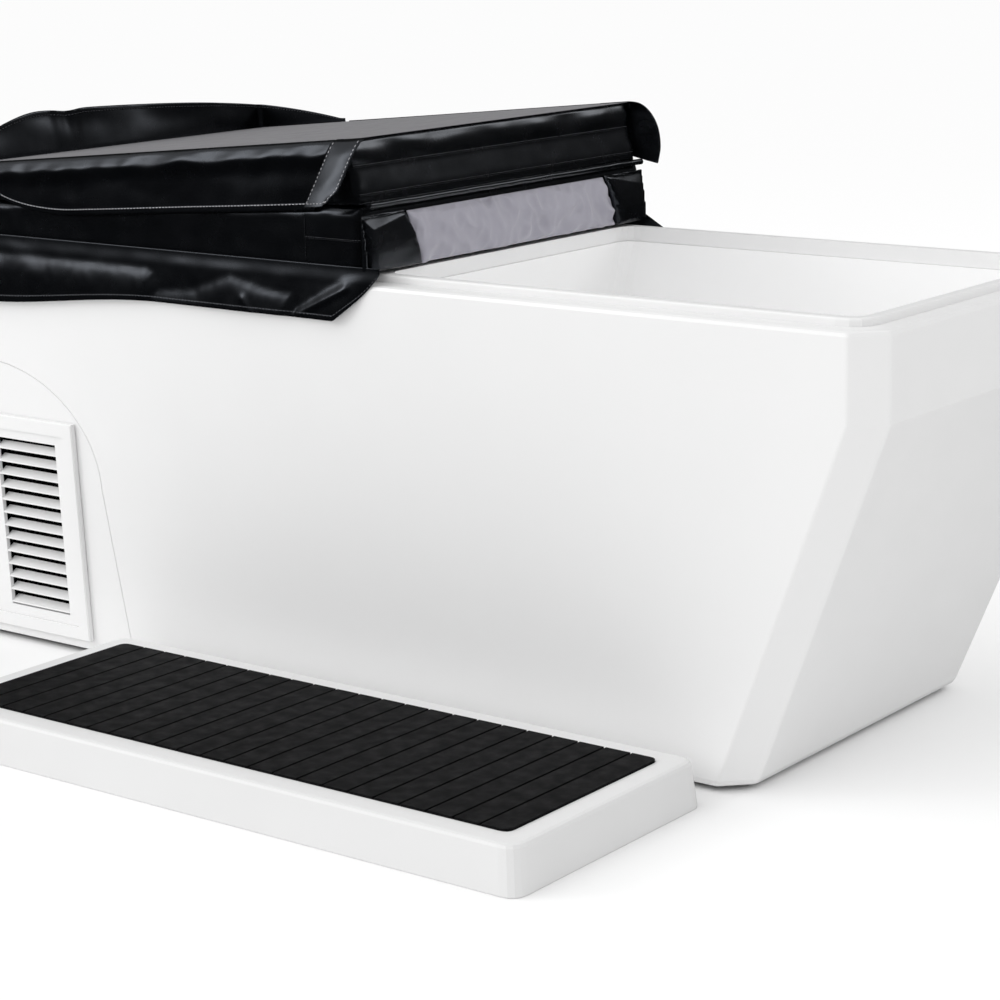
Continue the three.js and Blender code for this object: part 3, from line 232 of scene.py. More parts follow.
def wovenPolyester(name, light, shade):
    # coated plain weave: dull, threads 0.6 mm apart that are drawn wider so that they show; period is the
    # wave texture's own length at scale 1
    grain = weaveGrain
    material, tree, shader = newMaterial(name)
    inputs = {"Vector": surfacePlace(tree), "Scale": grain["period"] / (grain["thread"] * mm),
              "Distortion": grain["sway"]}
    threads = [addNode(tree, "ShaderNodeTexWave", inputs, wave_type="BANDS", bands_direction=way)
               for way in ("Y", "DIAGONAL")]
    weave = multiplied(tree, *(way.outputs["Fac"] for way in threads))
    drift = multiplied(tree, weave, mottled(tree, grain["drift"], 0, 1))
    tree.links.new(tinted(tree, drift, light, shade), shader.inputs["Base Color"])
    tree.links.new(mottled(tree, grain["gloss"], *grain["rough"]), shader.inputs["Roughness"])
    cloth = bumped(tree, weave, *grain["threadBump"])
    slack = bumped(tree, mottled(tree, grain["slack"], 0, 1), *grain["slackBump"], cloth)
    tree.links.new(slack, shader.inputs["Normal"])
    shader.inputs["Sheen Weight"].default_value = grain["sheen"]
    shader.inputs["Sheen Roughness"].default_value = grain["sheenRough"]
    return material


def foamRubber(name, light, shade):
    # closed-cell EVA or rubber: dull black with a pebbled skin
    grain = foamGrain
    material, tree, shader = newMaterial(name)
    coloured(tree, shader, grain["drift"], grain["gloss"], (light, shade), grain["rough"])
    pips = bumped(tree, celled(tree, grain["pip"]).outputs["Distance"], *grain["pipBump"])
    tree.links.new(pips, shader.inputs["Normal"])
    shader.inputs["Specular IOR Level"].default_value = grain["specular"]
    return material


def sheetMetal(name, light, shade, rough, spangle):
    # plated or mill-finished metal: bright, with a crystal spangle
    material, tree, shader = newMaterial(name)
    flakes = celled(tree, spangle).outputs["Color"]
    tree.links.new(tinted(tree, flakes, light, shade), shader.inputs["Base Color"])
    gloss = mottled(tree, metalGrain["gloss"], rough - metalGrain["smoother"], rough + metalGrain["rougher"])
    tree.links.new(gloss, shader.inputs["Roughness"])
    shader.inputs["Metallic"].default_value = 1.0
    return material


def plainFinish(name, light, shade, roughLow, roughHigh, grain, depth):
    # moulded, enamelled or pressed stock: one colour drifting a little, with its own grain size
    material, tree, shader = newMaterial(name)
    drift, gloss = grain * plainGrain["driftTimes"], grain * plainGrain["glossTimes"]
    coloured(tree, shader, drift, gloss, (light, shade), (roughLow, roughHigh))
    skin = bumped(tree, mottled(tree, grain, 0, 1), plainGrain["strength"], depth)
    tree.links.new(skin, shader.inputs["Normal"])
    return material


finishes = {
    "shell": mouldedPlastic("satin_moulded_polyethylene", "#efefef", "#eeeeee", 0.36, 0.44),
    # the step tray is the shell's plastic, a little rougher, given a darker tone that is painted shade
    "tray": mouldedPlastic("dull_moulded_polyethylene_with_painted_shade", "#e4e4e4", "#e2e2e2", 0.42, 0.5),
    # the basin liner is given a whiter tone than the shell, painted light that brightens the inside of the
    # basin; its smoother gloss is its own
    "liner": mouldedPlastic("smooth_moulded_polyethylene_with_painted_light", "#fdfdfd", "#fcfcfc", 0.28, 0.34),
    "vinyl": coatedVinyl("black_coated_vinyl", "#040507", "#060709", 0.24, 0.28),
    # the lining is the same cloth as the padding, given a darker tone that is painted shade
    "lining": wovenPolyester("grey_coated_polyester_with_painted_shade", "#56545b", "#4b4952"),
    "padding": wovenPolyester("quilted_grey_polyester", "#a2a0ab", "#94929d"),
    "thread": plainFinish("waxed_polyester_thread", "#c9c8cc", "#aeadb2", 0.5, 0.6, 1.0, 0.1),
    "darkThread": plainFinish("black_polyester_thread", "#4a4b50", "#3c3d41", 0.4, 0.5, 1.0, 0.1),
    "mat": foamRubber("ribbed_eva_foam", "#0b0b0d", "#101012"),
    "runner": foamRubber("moulded_rubber", "#1d1d1d", "#242424"),
    "foam": plainFinish("cut_polyurethane_foam", "#e4d9ab", "#d5c894", 0.9, 0.97, 2.5, 0.8),
    "board": plainFinish("pressed_plastic_board", "#3a3b3d", "#333436", 0.7, 0.85, 3.0, 0.3),
    "zinc": sheetMetal("zinc_plated_sheet", "#b9bdc1", "#a5aaaf", 0.4, 18),
    "coil": sheetMetal("epoxy_coated_fin", "#23262a", "#1b1e21", 0.45, 3),
    "steel": sheetMetal("brushed_stainless_steel", "#c9ccd0", "#bcc0c4", 0.28, 2),
    "enamel": plainFinish("black_enamel", "#17181a", "#1f2023", 0.28, 0.4, 3.5, 0.15),
    "nylon": plainFinish("glass_filled_nylon", "#2a2c2f", "#303236", 0.48, 0.6, 1.6, 0.2),
    "pipe": plainFinish("white_upvc", "#e4e5e6", "#dadcdd", 0.3, 0.4, 6.0, 0.15),
    "paper": plainFinish("pleated_filter_paper", "#dfe6ea", "#d2dade", 0.85, 0.95, 1.5, 0.4),
    "grip": plainFinish("dipped_vinyl_grip", "#8c1d1d", "#7d1818", 0.35, 0.45, 2.5, 0.3),
}
print("finishes made:", len(finishes))

nodeFinish = {
    "outer_shell": "shell", "service_panel": "shell", "louvre_frame": "shell", "louvre_grille": "shell",
    "step_tray": "tray", "rim_deck": "shell", "basin_liner": "liner", "basin_insulation": "foam",
    "base_board": "board", "base_runner_left": "runner", "base_runner_middle": "runner",
    "base_runner_right": "runner", "step_mat": "mat", "chiller_tray": "zinc", "fan_bracket": "zinc",
    "condenser_coil": "coil", "fan_shroud": "enamel", "fan_motor": "enamel", "compressor": "enamel",
    "fan_rotor": "nylon", "control_box": "nylon", "filter_housing": "nylon", "filter_lid": "nylon",
    "circulation_pump": "nylon", "heat_exchanger": "pipe", "suction_pipe": "pipe", "pump_pipe": "pipe",
    "feed_pipe": "pipe", "return_pipe": "pipe", "suction_fitting": "pipe", "return_fitting": "pipe",
    "drain_fitting": "pipe", "drain_pipe": "pipe", "filter_cartridge": "paper", "drain_valve": "steel",
    "drain_lever": "grip",
}
for nodeName, finish in nodeFinish.items():
    nodes[nodeName].data.materials.clear()
    nodes[nodeName].data.materials.append(finishes[finish])


# Cover measures shared by its pieces, as in the CAD source, in millimetres from the fold line
cover = {"foldX": 195.0, "foldZ": 824.8, "depth": 106.5, "slope": 0.0455, "half": 380.0,
         "upperLength": 886.0, "lowerLength": 1276.0, "skirtOut": 381.8, "clothInset": 0.4, "lap": 14.0}
clothOut = cover["skirtOut"] - cover["clothInset"]
foldTurn = math.pi + 2 * math.atan(cover["slope"])
lowerPlace = Matrix.Translation((cover["foldX"] * mm, 0, cover["foldZ"] * mm))
upperPlace = lowerPlace @ Matrix.Rotation(-foldTurn, 4, "Y")
sign = {"near": -1, "far": 1}


# Cloth and thread; nudge is the step along and down a surface over which its slope is taken
cloth = {"thickness": 1.6, "hem": 2.9, "hemRows": 3, "sewnInset": 0.004}
thread = {"pitch": 7.0, "length": 3.6, "radius": 0.65, "proud": 1.6}
threadSides = 6
nudge = {"along": 0.004, "down": 0.01}


def sheetPiece(name, surface, place, grid, thickness, material="vinyl"):
    # a sheet over surface(u, v), in millimetres in the frame that place gives
    bm = bmesh.new()
    bmesh.ops.create_grid(bm, x_segments=grid[0], y_segments=grid[1], size=0.5)
    for vert in bm.verts:
        vert.co = place @ (surface(vert.co.x + 0.5, 0.5 - vert.co.y) * mm)
    piece = newPiece(name, meshFrom(bm, name), finishes[material])
    wall = piece.modifiers.new("thickness", "SOLIDIFY")
    wall.thickness = thickness * mm
    wall.offset = 0
    soft = piece.modifiers.new("smooth", "SUBSURF")
    soft.levels = soft.render_levels = 1
    return piece


def stitches(name, path, place, gauge, finish):
    # short threads laid along path, a list of points and outward directions in millimetres
    bm = bmesh.new()
    walked, due = 0.0, gauge["pitch"] / 2
    for (start, out), (end, _) in zip(path, path[1:]):
        step = (end - start).length
        while step > 0 and due <= walked + step:
            middle = start.lerp(end, (due - walked) / step) + out * gauge["proud"]
            turn = (end - start).to_track_quat("Z", "Y").to_matrix().to_4x4()
            bmesh.ops.create_cone(bm, cap_ends=True, segments=threadSides, radius1=gauge["radius"] * mm,
                                  radius2=gauge["radius"] * mm, depth=gauge["length"] * mm,
                                  matrix=place @ Matrix.Translation(middle * mm) @ turn)
            due += gauge["pitch"]
        walked += step
    return newPiece(name, meshFrom(bm, name), finishes[finish])


def outward(surface, u, v):
    along = surface(min(1, u + nudge["along"]), v) - surface(max(0, u - nudge["along"]), v)
    down = surface(u, min(1, v + nudge["down"])) - surface(u, max(0, v - nudge["down"]))
    return down.cross(along).normalized()


def across(surface, v, steps, inset):
    # the line at v of a surface, with outward directions for stitches
    places = [inset + (1 - 2 * inset) * i / steps for i in range(steps + 1)]
    return [(surface(u, v), outward(surface, u, v)) for u in places]


def downEdge(surface, u, steps, low, high):
    places = [low + (high - low) * i / steps for i in range(steps + 1)]
    return [(surface(u, v), outward(surface, u, v)) for v in places]


def hemmedSheet(name, surface, place, grid, own, finish):
    # a sheet, its doubled hem and the row of stitches on the hem; own says where down the sheet they start
    piece = sheetPiece(name, surface, place, grid, cloth["thickness"])
    start = own["hemStart"]
    hem = sheetPiece(name + "_hem", lambda u, v: surface(u, start + (1 - start) * v), place,
                     (grid[0], cloth["hemRows"]), cloth["hem"])
    row = across(surface, own["sewnAt"], own.get("sewnSteps", grid[0]), cloth["sewnInset"])
    return piece, hem, stitches(name + "_stitching", row, place, thread, finish)


# Upper side flaps, sewn at the panel's foot and lying turned over against its side. The seam's tuck and
# round are each a size and the rise over which it fades; full is the pulled cloth that makes the long wavy
# highlight
flap = {
    "drop": 108.0, "taper": 0.016, "tabGap": 0.3, "endGap": {"near": 45.0, "far": 227.0}, "endRound": 230.0,
    "endLeast": 0.15, "fold": 4.0, "foldLength": 310.0, "tuck": (2.6, 5.0), "seamRound": (7.5, 3.5),
    "seamRoll": 12.0, "wrinkle": (0.9, 60.0, 30.0, 11), "wrinkleRun": 30.0, "grid": (150, 24),
    "hemStart": 0.885, "sewnAt": 0.905, "sewnSteps": 220,
    "full": {"height": 6.0, "rise": 25.0, "width": 12.0, "share": 0.8, "sway": (8.0, 70.0, 1.0, 3),
             "swell": (0.5, 45.0, 1.0, 5), "swellRow": 0.3},
}

# Corner tabs beside the flaps; bend is how far a tab stands off, as a share, against the share down it
tabCurl = {"turn": 0.66, "power": 0.62}


def standingOff(v):
    return v


def curledBack(v):
    return math.sin(tabCurl["turn"] * math.pi * v ** tabCurl["power"])


tab = {
    "width": 60.0, "flare": 30.0, "thickness": 1.8, "keep": 0.12, "rest": 383.0, "cornerDown": 0.72,
    "cornerWide": 0.4, "cornerLift": 0.6, "crownAt": 0.3, "crownRun": 0.3, "wrinkle": (0.7, 0.5, 25.0, 17),
    "grid": (16, 26), "seamDrop": 16.0, "seamIn": 2.2, "seamGrid": (16, 8),
    "thread": {"pitch": 7.0, "length": 3.4, "radius": 0.5, "proud": 1.5},
    "sewn": {"edges": (0.08, 0.92), "edgeSpan": (0.05, 0.97), "edgeSteps": 40, "foot": 0.94, "footSteps": 20,
             "footInset": 0.08},
    "near": {"start": -16.0, "lean": 0.47, "drop": 102.0, "slant": 0.0, "corner": 9.0, "crown": 3.8,
             "hold": 0.0, "seamStart": 31.0, "bend": standingOff},
    "far": {"start": 20.0, "lean": -0.30, "drop": 116.0, "slant": 23.0, "corner": 2.0, "crown": 1.2,
            "hold": 0.7, "seamStart": 20.0, "bend": curledBack},
}


def fromFold(side, u):
    # share of the way from the fold, however the sheet is turned
    return 1 - u if sign[side] < 0 else u


def sewnHeight(rise):
    # height at a rise above the sewn edge, which lies a little inside the panel's own edge
    size, fade = flap["tuck"]
    return -cover["depth"] + (rise + size * math.exp(-rise / fade))


def seamRound(rise):
    # the cloth rolls over the panel's edge
    size, fade = flap["seamRound"]
    return size * math.exp(-rise / fade)


def flapSurface(side):
    full = flap["full"]
    start = tab[side]["start"] + tab["width"] + flap["tabGap"]
    run = cover["upperLength"] - flap["endGap"][side] - start

    def surface(u, v):
        along = fromFold(side, u)
        fromStart = run * along
        inEnd = min(1.0, max(0.0, 1 - (run - fromStart) / flap["endRound"]))
        rounded = flap["endLeast"] + (1 - flap["endLeast"]) * math.sqrt(max(0.0, 1 - inEnd * inEnd))
        rise = v * (flap["drop"] - flap["taper"] * fromStart) * rounded
        wave = 0.5 - 0.5 * math.cos(2 * math.pi * fromStart / flap["foldLength"])
        out = clothOut + ease(rise / flap["drop"]) * flap["fold"] * wave
        fullRise = full["rise"] + wrinkled(full["sway"], fromStart, 0)
        swell = full["share"] + wrinkled(full["swell"], fromStart, full["swellRow"])
        out += hump(rise, full["height"], fullRise, full["width"]) * swell
        out += wrinkled(flap["wrinkle"], fromStart, rise) * ease(rise / flap["wrinkleRun"])
        out -= seamRound(rise)
        x = start + fromStart + tab[side]["lean"] * rise * (1 - along)
        return Vector((x, sign[side] * out, sewnHeight(rise)))

    return surface


def tabSurface(side):
    own = tab[side]

    def surface(u, v):
        along = fromFold(side, u)
        rise = v * (own["drop"] - own["slant"] * along)
        turned = easedFrom(v, tab["cornerDown"], 1 - tab["cornerDown"])
        corner = own["corner"] * turned * ease((tab["cornerWide"] - along) / tab["cornerWide"])
        bend = own["bend"](v)
        crown = own["crown"] * (1 - ((along - tab["crownAt"]) / (1 - tab["crownAt"])) ** 2)
        out = cover["skirtOut"] + tab["flare"] * bend * (1 - own["hold"] * along)
        out += crown * ease(v / tab["crownRun"])
        out += wrinkled(tab["wrinkle"], along, rise) - seamRound(rise)
        x = own["start"] + tab["width"] * along + own["lean"] * own["drop"] * bend + corner
        return Vector((x, sign[side] * out, sewnHeight(rise) - corner * tab["cornerLift"]))

    return surface


def tabSeamSurface(side):
    own = tab[side]

    def surface(u, v):
        along = fromFold(side, u)
        rise = v * tab["seamDrop"]
        out = cover["skirtOut"] - tab["seamIn"] - seamRound(rise)
        x = own["seamStart"] + (own["start"] + tab["width"] - own["seamStart"]) * along
        return Vector((x, sign[side] * out, sewnHeight(rise)))

    return surface


def rolledAtSeam(piece):
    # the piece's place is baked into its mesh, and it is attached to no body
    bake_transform(piece)


def makeTab(side):
    surface = tabSurface(side)
    piece = sheetPiece("upper_" + side + "_tab", surface, upperPlace, tab["grid"], tab["thickness"])
    lines = tab["sewn"]
    border = [downEdge(surface, u, lines["edgeSteps"], *lines["edgeSpan"]) for u in lines["edges"]]
    border.append(across(surface, lines["foot"], lines["footSteps"], lines["footInset"]))
    rows = [stitches(f"upper_{side}_tab_stitching_{i}", line, upperPlace, tab["thread"], "thread")
            for i, line in enumerate(border)]
    seamName = "upper_" + side + "_tab_seam"
    seam = sheetPiece(seamName, tabSeamSurface(side), upperPlace, tab["seamGrid"], cloth["thickness"])
    return piece, rows, seam


def makeSideFlap(side):
    body = side + "_flap"
    surface = flapSurface(side)
    piece, hem, rows = hemmedSheet("upper_" + body, surface, upperPlace, flap["grid"], flap, "thread")
    tabPiece, tabRows, tabSeam = makeTab(side)
    for part in (hem, rows, tabPiece, *tabRows):
        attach(part, body)
    for part in (piece, tabSeam):
        rolledAtSeam(part)
    for part in (tabPiece, *tabRows):
        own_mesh(part)
    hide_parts("upper_flap_" + side)
    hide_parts("upper_tab_" + side)
    return piece, [hem, rows], tabPiece, [tabSeam, *tabRows]


flapPieces = {side: makeSideFlap(side) for side in sign}
print("side flaps and tabs made")


# End flap, standing up from the upper panel and carried round the far corner. Places along it run from the
# tail on the far side; the dip, crest and hollow are each a height, a place and a width, and the leans a
# place and a run
endFlap = {
    "drop": 72.0, "out": 1.8, "wrap": 215.0, "round": 10.0, "start": 42.0, "growth": 300.0,
    "growthMost": 1.1, "least": 0.04, "sweep": 300.0, "nearShare": 0.47, "tailShare": 0.25,
    "bendShare": 0.10, "dip": (0.06, 712.0, 28.0), "crease": 5.0, "crest": (1.0, 716.0, 20.0),
    "hollow": (0.7, 670.0, 28.0), "lean": 9.0, "leanFrom": (380.0, 200.0), "leanTo": (672.0, 30.0),
    "leanAgain": (725.0, 30.0), "leanAgainShare": 0.8, "fullness": (6.0, 110.0, 70.0, 23), "slack": 2.0,
    "grid": (130, 18), "hemStart": 0.88, "sewnAt": 0.9, "sewnSteps": 220,
}


def endFlapPath(u):
    # place on the panel's edge, direction out from it, distance from the tail and distance to the near end
    outX, outY = cover["upperLength"] + endFlap["out"], cover["skirtOut"]
    bend, radius = math.pi / 2, endFlap["round"]
    tail = endFlap["wrap"] - radius
    straight = outY - radius - (-cover["half"] + endFlap["start"])
    whole = tail + radius * bend + straight
    first, second = endFlap["tailShare"], endFlap["tailShare"] + endFlap["bendShare"]
    if u < first:
        run = tail * (1 - u / first)
        x, y, s, away = outX - radius - run, outY, tail - run, Vector((0, 1, 0))
    elif u < second:
        turn = bend * (1 - (u - first) / endFlap["bendShare"])
        x, y = outX - radius * (1 - math.cos(turn)), outY - radius * (1 - math.sin(turn))
        s, away = tail + radius * (bend - turn), Vector((math.cos(turn), math.sin(turn), 0))
    else:
        run = straight * (u - second) / (1 - second)
        x, y, s, away = outX, outY - radius - run, tail + radius * bend + run, Vector((1, 0, 0))
    return x, y, away, s, whole - s


def endFlapSurface(u, v):
    x, y, away, s, left = endFlapPath(u)
    growth = min(1.0, endFlap["growthMost"] * (1 - math.exp(-max(0.0, s) / endFlap["growth"])))
    rise = max(endFlap["least"], growth) * ease(left / endFlap["sweep"] + endFlap["nearShare"])
    # the hem dips where the flap is creased
    rise -= hump(s, *endFlap["dip"])
    fall = v * (cover["lap"] + endFlap["drop"] * rise)
    loose = easedFrom(fall, cover["lap"], endFlap["drop"])
    crease = endFlap["crease"] * (hump(s, *endFlap["crest"]) - hump(s, *endFlap["hollow"]))
    # it leans back between its middle and the crease, and again past it
    lean = easedFrom(s, *endFlap["leanFrom"]) * (1 - easedFrom(s, *endFlap["leanTo"]))
    lean += endFlap["leanAgainShare"] * easedFrom(s, *endFlap["leanAgain"])
    share = max(0.0, fall - cover["lap"]) / endFlap["drop"]
    out = endFlap["lean"] * lean * share
    out += loose * (wrinkled(endFlap["fullness"], s, fall) + crease + endFlap["slack"])
    return Vector((x, y, -cover["depth"] + cover["lap"] - fall)) + away * out


def makeEndFlap():
    piece, hem, rows = hemmedSheet("upper_end_flap", endFlapSurface, upperPlace, endFlap["grid"], endFlap,
                                   "darkThread")
    for part in (piece, hem, rows):
        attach(part, "cover_top")
    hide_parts("upper_flap_end")
    return piece, hem, rows


endFlapPieces = makeEndFlap()
print("end flap made")


# Lower skirts, sewn near the lower panel's foot. Ridges are lines of the kicked folds, as distance from the
# fold and distance below the seam: the long one first, then the two pleats
skirt = {
    "drop": 72.0, "extra": 30.0, "extraFrom": (440.0, 420.0), "fold": 10.0, "folds": 4, "sweep": 92.0,
    "sweepGap": 4.0, "sweepPower": 0.75, "reachRun": 0.45, "endCalm": 80.0, "endOut": 1.6,
    "kickFrom": (-10.0, 60.0), "kick": 7.2, "kickFade": 24.0, "ridge": 0.4, "ridgeWidth": 3.0,
    "pleat": (2.6, 1.6), "pleatWidth": 6.5, "sewnIn": 2.6, "sewnRun": 26.0, "flare": 2.5, "flareRun": 60.0,
    "wrinkle": (0.9, 55.0, 45.0, 31), "wrinkleRun": 30.0, "pucker": (0.35, 16.0, 24.0, 37),
    "puckerFrom": (20.0, 40.0), "endWrinkle": (1.2, 40.0, 40.0, 41), "cornerCalm": 40.0,
    "sideGrid": (360, 32), "endGrid": (140, 32), "hemStart": 0.885, "sewnAt": 0.905,
    "near": {"reach": 29.0, "topShare": 1.0, "sweepLeast": 0.0},
    "far": {"reach": 42.0, "topShare": 0.1, "sweepLeast": 0.6},
    "ridges": [[(1276, 30), (460, 33), (446, 40), (436, 66), (361, 60), (276, 31), (205, 47), (146, 50),
                (138, 74), (40, 18), (-20, 8)],
               [(132, 80), (34, 34)],
               [(228, 88), (246, 66)]],
}


def fromLine(s, fall, line):
    # shortest distance from a place on the skirt to a line of points
    here = Vector((s, fall))
    best = math.inf
    for start, end in zip(line, line[1:]):
        first, run = Vector(start), Vector(end) - Vector(start)
        share = min(1.0, max(0.0, (here - first).dot(run) / run.length_squared))
        best = min(best, (here - first - run * share).length)
    return best


def lineAt(s, line):
    # how far below the seam a line of points lies at a distance from the fold
    for (s0, fall0), (s1, fall1) in zip(line, line[1:]):
        if s1 <= s <= s0:
            return fall0 + (fall1 - fall0) * (s0 - s) / (s0 - s1)
    return line[-1][1]


def skirtSurface(side):
    own = skirt[side]
    kicked, *pleats = skirt["ridges"]

    def surface(u, v):
        along = fromFold(side, u)
        reach = own["reach"] * (own["topShare"] + (1 - own["topShare"]) * min(1.0, v / skirt["reachRun"]))
        s = -reach + (cover["lowerLength"] + skirt["endOut"] + reach) * along
        extra = skirt["extra"] * easedFrom(s, *skirt["extraFrom"])
        swept = (s + own["reach"] + skirt["sweepGap"]) / skirt["sweep"]
        sweep = min(1.0, max(0.0, swept)) ** skirt["sweepPower"]
        fall = v * (cover["lap"] + skirt["drop"] + extra) * max(own["sweepLeast"], sweep)
        kick = easedFrom(s, *skirt["kickFrom"]) * ease((cover["lowerLength"] - s) / skirt["endCalm"])
        fromRidge = fromLine(s, fall, kicked)
        past = fromRidge if fall > lineAt(s, kicked) else 0.0
        fade = kick * ease(fall / cover["lap"])
        out = clothOut + fade * skirt["kick"] * (1 - math.exp(-past / skirt["kickFade"]))
        out += fade * hump(fromRidge, skirt["ridge"], 0, skirt["ridgeWidth"])
        out -= skirt["sewnIn"] * (1 - ease(fall / skirt["sewnRun"]))
        out += kick * skirt["flare"] * ease(fall / skirt["flareRun"])
        for line, height in zip(pleats, skirt["pleat"]):
            out += fade * hump(fromLine(s, fall, line), height, 0, skirt["pleatWidth"])
        out += kick * wrinkled(skirt["wrinkle"], s, fall) * ease(fall / skirt["wrinkleRun"])
        out += wrinkled(skirt["pucker"], s, fall) * easedFrom(fall, *skirt["puckerFrom"])
        return Vector((-s, sign[side] * out, -cover["depth"] + cover["lap"] - fall))

    return surface


def endSkirtSurface(u, v):
    y = clothOut * (1 - 2 * u)
    fall = v * (cover["lap"] + skirt["drop"] + skirt["extra"])
    loose = easedFrom(fall, cover["lap"], skirt["drop"])
    wave = 0.5 - 0.5 * math.cos(2 * math.pi * skirt["folds"] * u)
    out = cover["lowerLength"] + skirt["endOut"] + loose * skirt["fold"] * wave
    calm = ease(fall / skirt["wrinkleRun"]) * ease((clothOut - abs(y)) / skirt["cornerCalm"])
    out += wrinkled(skirt["endWrinkle"], y, fall) * calm
    return Vector((-out, y, -cover["depth"] + cover["lap"] - fall))


def makeSkirt(side, surface, grid):
    name = "lower_" + side + "_skirt"
    piece, hem, rows = hemmedSheet(name, surface, lowerPlace, grid, skirt, "darkThread")
    for part in (piece, hem, rows):
        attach(part, "tub")
    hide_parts("lower_skirt_" + side)
    return piece, hem, rows


skirtPieces = [makeSkirt(side, skirtSurface(side), skirt["sideGrid"]) for side in sign]
skirtPieces.append(makeSkirt("end", endSkirtSurface, skirt["endGrid"]))
print("lower skirts made")


# Grey lining, let into the upper panel's underside, which faces up while the cover is folded
lining = {"start": 20.0, "endInset": 7.0, "sideInset": 7.0, "recess": 5.0, "foldGap": 8.0, "lipStart": 1.0,
          "lipRun": 8.0, "sewnDeep": 4.0, "sewnShare": 0.12, "slackLift": 1.4, "slant": 0.4,
          "wide": (1.3, 120.0, 60.0, 83), "fine": (0.7, 45.0, 130.0, 89), "thickness": 1.0,
          "grid": (110, 100)}


def liningSurface(u, v):
    x = lining["start"] + (cover["upperLength"] - lining["endInset"] - lining["start"]) * u
    y = (cover["half"] - lining["sideInset"]) * (1 - 2 * v)
    edge = min(u, 1 - u, v, 1 - v)
    wrinkle = wrinkled(lining["wide"], x + lining["slant"] * y, y) + wrinkled(lining["fine"], x, y)
    lift = ease(edge / lining["sewnShare"]) * (lining["slackLift"] + wrinkle)
    return Vector((x, y, -cover["depth"] + lining["sewnDeep"] - lift))


liningPiece = sheetPiece("upper_lining", liningSurface, upperPlace, lining["grid"], lining["thickness"],
                         "lining")
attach(liningPiece, "cover_top")
print("lining made")


# Padded pieces: the CAD form remeshed, blown up a little as cloth and then creased
padding = {"weld": 0.01, "smoothing": 0.5, "pressure": 4.0, "quality": 4, "frames": 20}


def evaluated(piece):
    graph = bpy.context.evaluated_depsgraph_get()
    mesh = bpy.data.meshes.new_from_object(piece.evaluated_get(graph))
    piece.modifiers.clear()
    piece.data = mesh


def swell(piece, pad):
    # cloth under pressure, held to the pad's cap where it may swell and to its CAD place elsewhere
    scene = bpy.context.scene
    rest = [vert.co.copy() for vert in piece.data.vertices]
    facing = [vert.normal.copy() for vert in piece.data.vertices]
    air = piece.modifiers.new("air", "CLOTH")
    air.settings.use_pressure = True
    air.settings.uniform_pressure_force = padding["pressure"]
    air.settings.quality = padding["quality"]
    air.settings.effector_weights.gravity = 0
    for step in range(1, padding["frames"] + 1):
        scene.frame_set(step)
    evaluated(piece)
    scene.frame_set(1)
    for vert, start, normal in zip(piece.data.vertices, rest, facing):
        move = vert.co - start
        cap = pad["cap"] * mm if pad["swells"](start / mm, normal) else 0.0
        vert.co = start + (move if move.length <= cap else move * (cap / move.length))


def padFromNode(name, nodeName, pad):
    bm = bmesh.new()
    bm.from_mesh(nodes[nodeName].data)
    bmesh.ops.remove_doubles(bm, verts=bm.verts, dist=padding["weld"] * mm)
    piece = newPiece(name, meshFrom(bm, name), finishes[pad["finish"]])
    voxels = piece.modifiers.new("voxels", "REMESH")
    voxels.mode = "VOXEL"
    voxels.voxel_size = pad["voxel"] * mm
    evaluated(piece)
    swell(piece, pad)
    bm = bmesh.new()
    bm.from_mesh(piece.data)
    bmesh.ops.smooth_vert(bm, verts=bm.verts, factor=padding["smoothing"], use_axis_x=True, use_axis_y=True,
                          use_axis_z=True)
    if "pull" in pad:
        for vert in bm.verts:
            vert.co.y += pad["pull"](vert.co / mm) * mm
    bm.normal_update()
    moves = [(vert, vert.normal * pad["crease"](vert.co / mm, vert.normal) * mm) for vert in bm.verts]
    for vert, move in moves:
        vert.co += move
    bm.to_mesh(piece.data)
    bm.free()
    piece.data.shade_smooth()
    soft = piece.modifiers.new("smooth", "SUBSURF")
    soft.levels = soft.render_levels = 1
    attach(piece, pad["body"])
    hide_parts(nodeName)
    return piece


# Creases of the two panels. Heights on the upper panel's fold face are those of the folded cover: its roll
# runs from the upper seam to the top edge. A face is level, or upright, past a share of its normal
panelSide = {"along": (0.9, 55.0, 26.0), "across": (0.45, 55.0, 24.0), "seedStep": 7, "upperSeed": 51,
             "lowerSeed": 61, "level": 0.7, "swellLevel": 0.6, "lowerFoldX": 180.0}
foldFace = {"upperSeam": 882.0, "lowerSeam": 839.0, "top": 931.0, "roll": 6.5, "rollShare": 0.85,
            "rollSway": (0.6, 80.0, 60.0, 53), "wrinkle": (0.25, 40.0, 30.0, 55), "upright": 0.6,
            "fromX": 100.0}


def sideCrease(p, n, seed):
    if abs(n.z) > panelSide["level"]:
        return 0.0
    along = wrinkled((*panelSide["along"], seed), p.x, p.z)
    return along + wrinkled((*panelSide["across"], seed + panelSide["seedStep"]), p.y, p.z)


def upperCrease(p, n):
    if n.z > panelSide["level"]:
        # the recess that the lining lies in
        beyondFold = cover["foldX"] - p.x
        edge = min(beyondFold - lining["foldGap"], cover["upperLength"] - beyondFold,
                   cover["half"] - abs(p.y))
        return -lining["recess"] * easedFrom(edge, lining["lipStart"], lining["lipRun"])
    if n.x < foldFace["upright"] or p.x < foldFace["fromX"]:
        return sideCrease(p, n, panelSide["upperSeed"])
    share = min(1.0, max(0.0, (p.z - foldFace["upperSeam"]) / (foldFace["top"] - foldFace["upperSeam"])))
    roll = math.sin(math.pi * share) * (foldFace["rollShare"] + wrinkled(foldFace["rollSway"], p.y, p.z))
    return foldFace["roll"] * roll + wrinkled(foldFace["wrinkle"], p.y, p.z)


def lowerCrease(p, n):
    return sideCrease(p, n, panelSide["lowerSeed"])


def onUpperSide(p, n):
    return abs(n.z) <= panelSide["swellLevel"]


def onLowerSide(p, n):
    return abs(n.z) <= panelSide["swellLevel"] and p.x <= panelSide["lowerFoldX"]


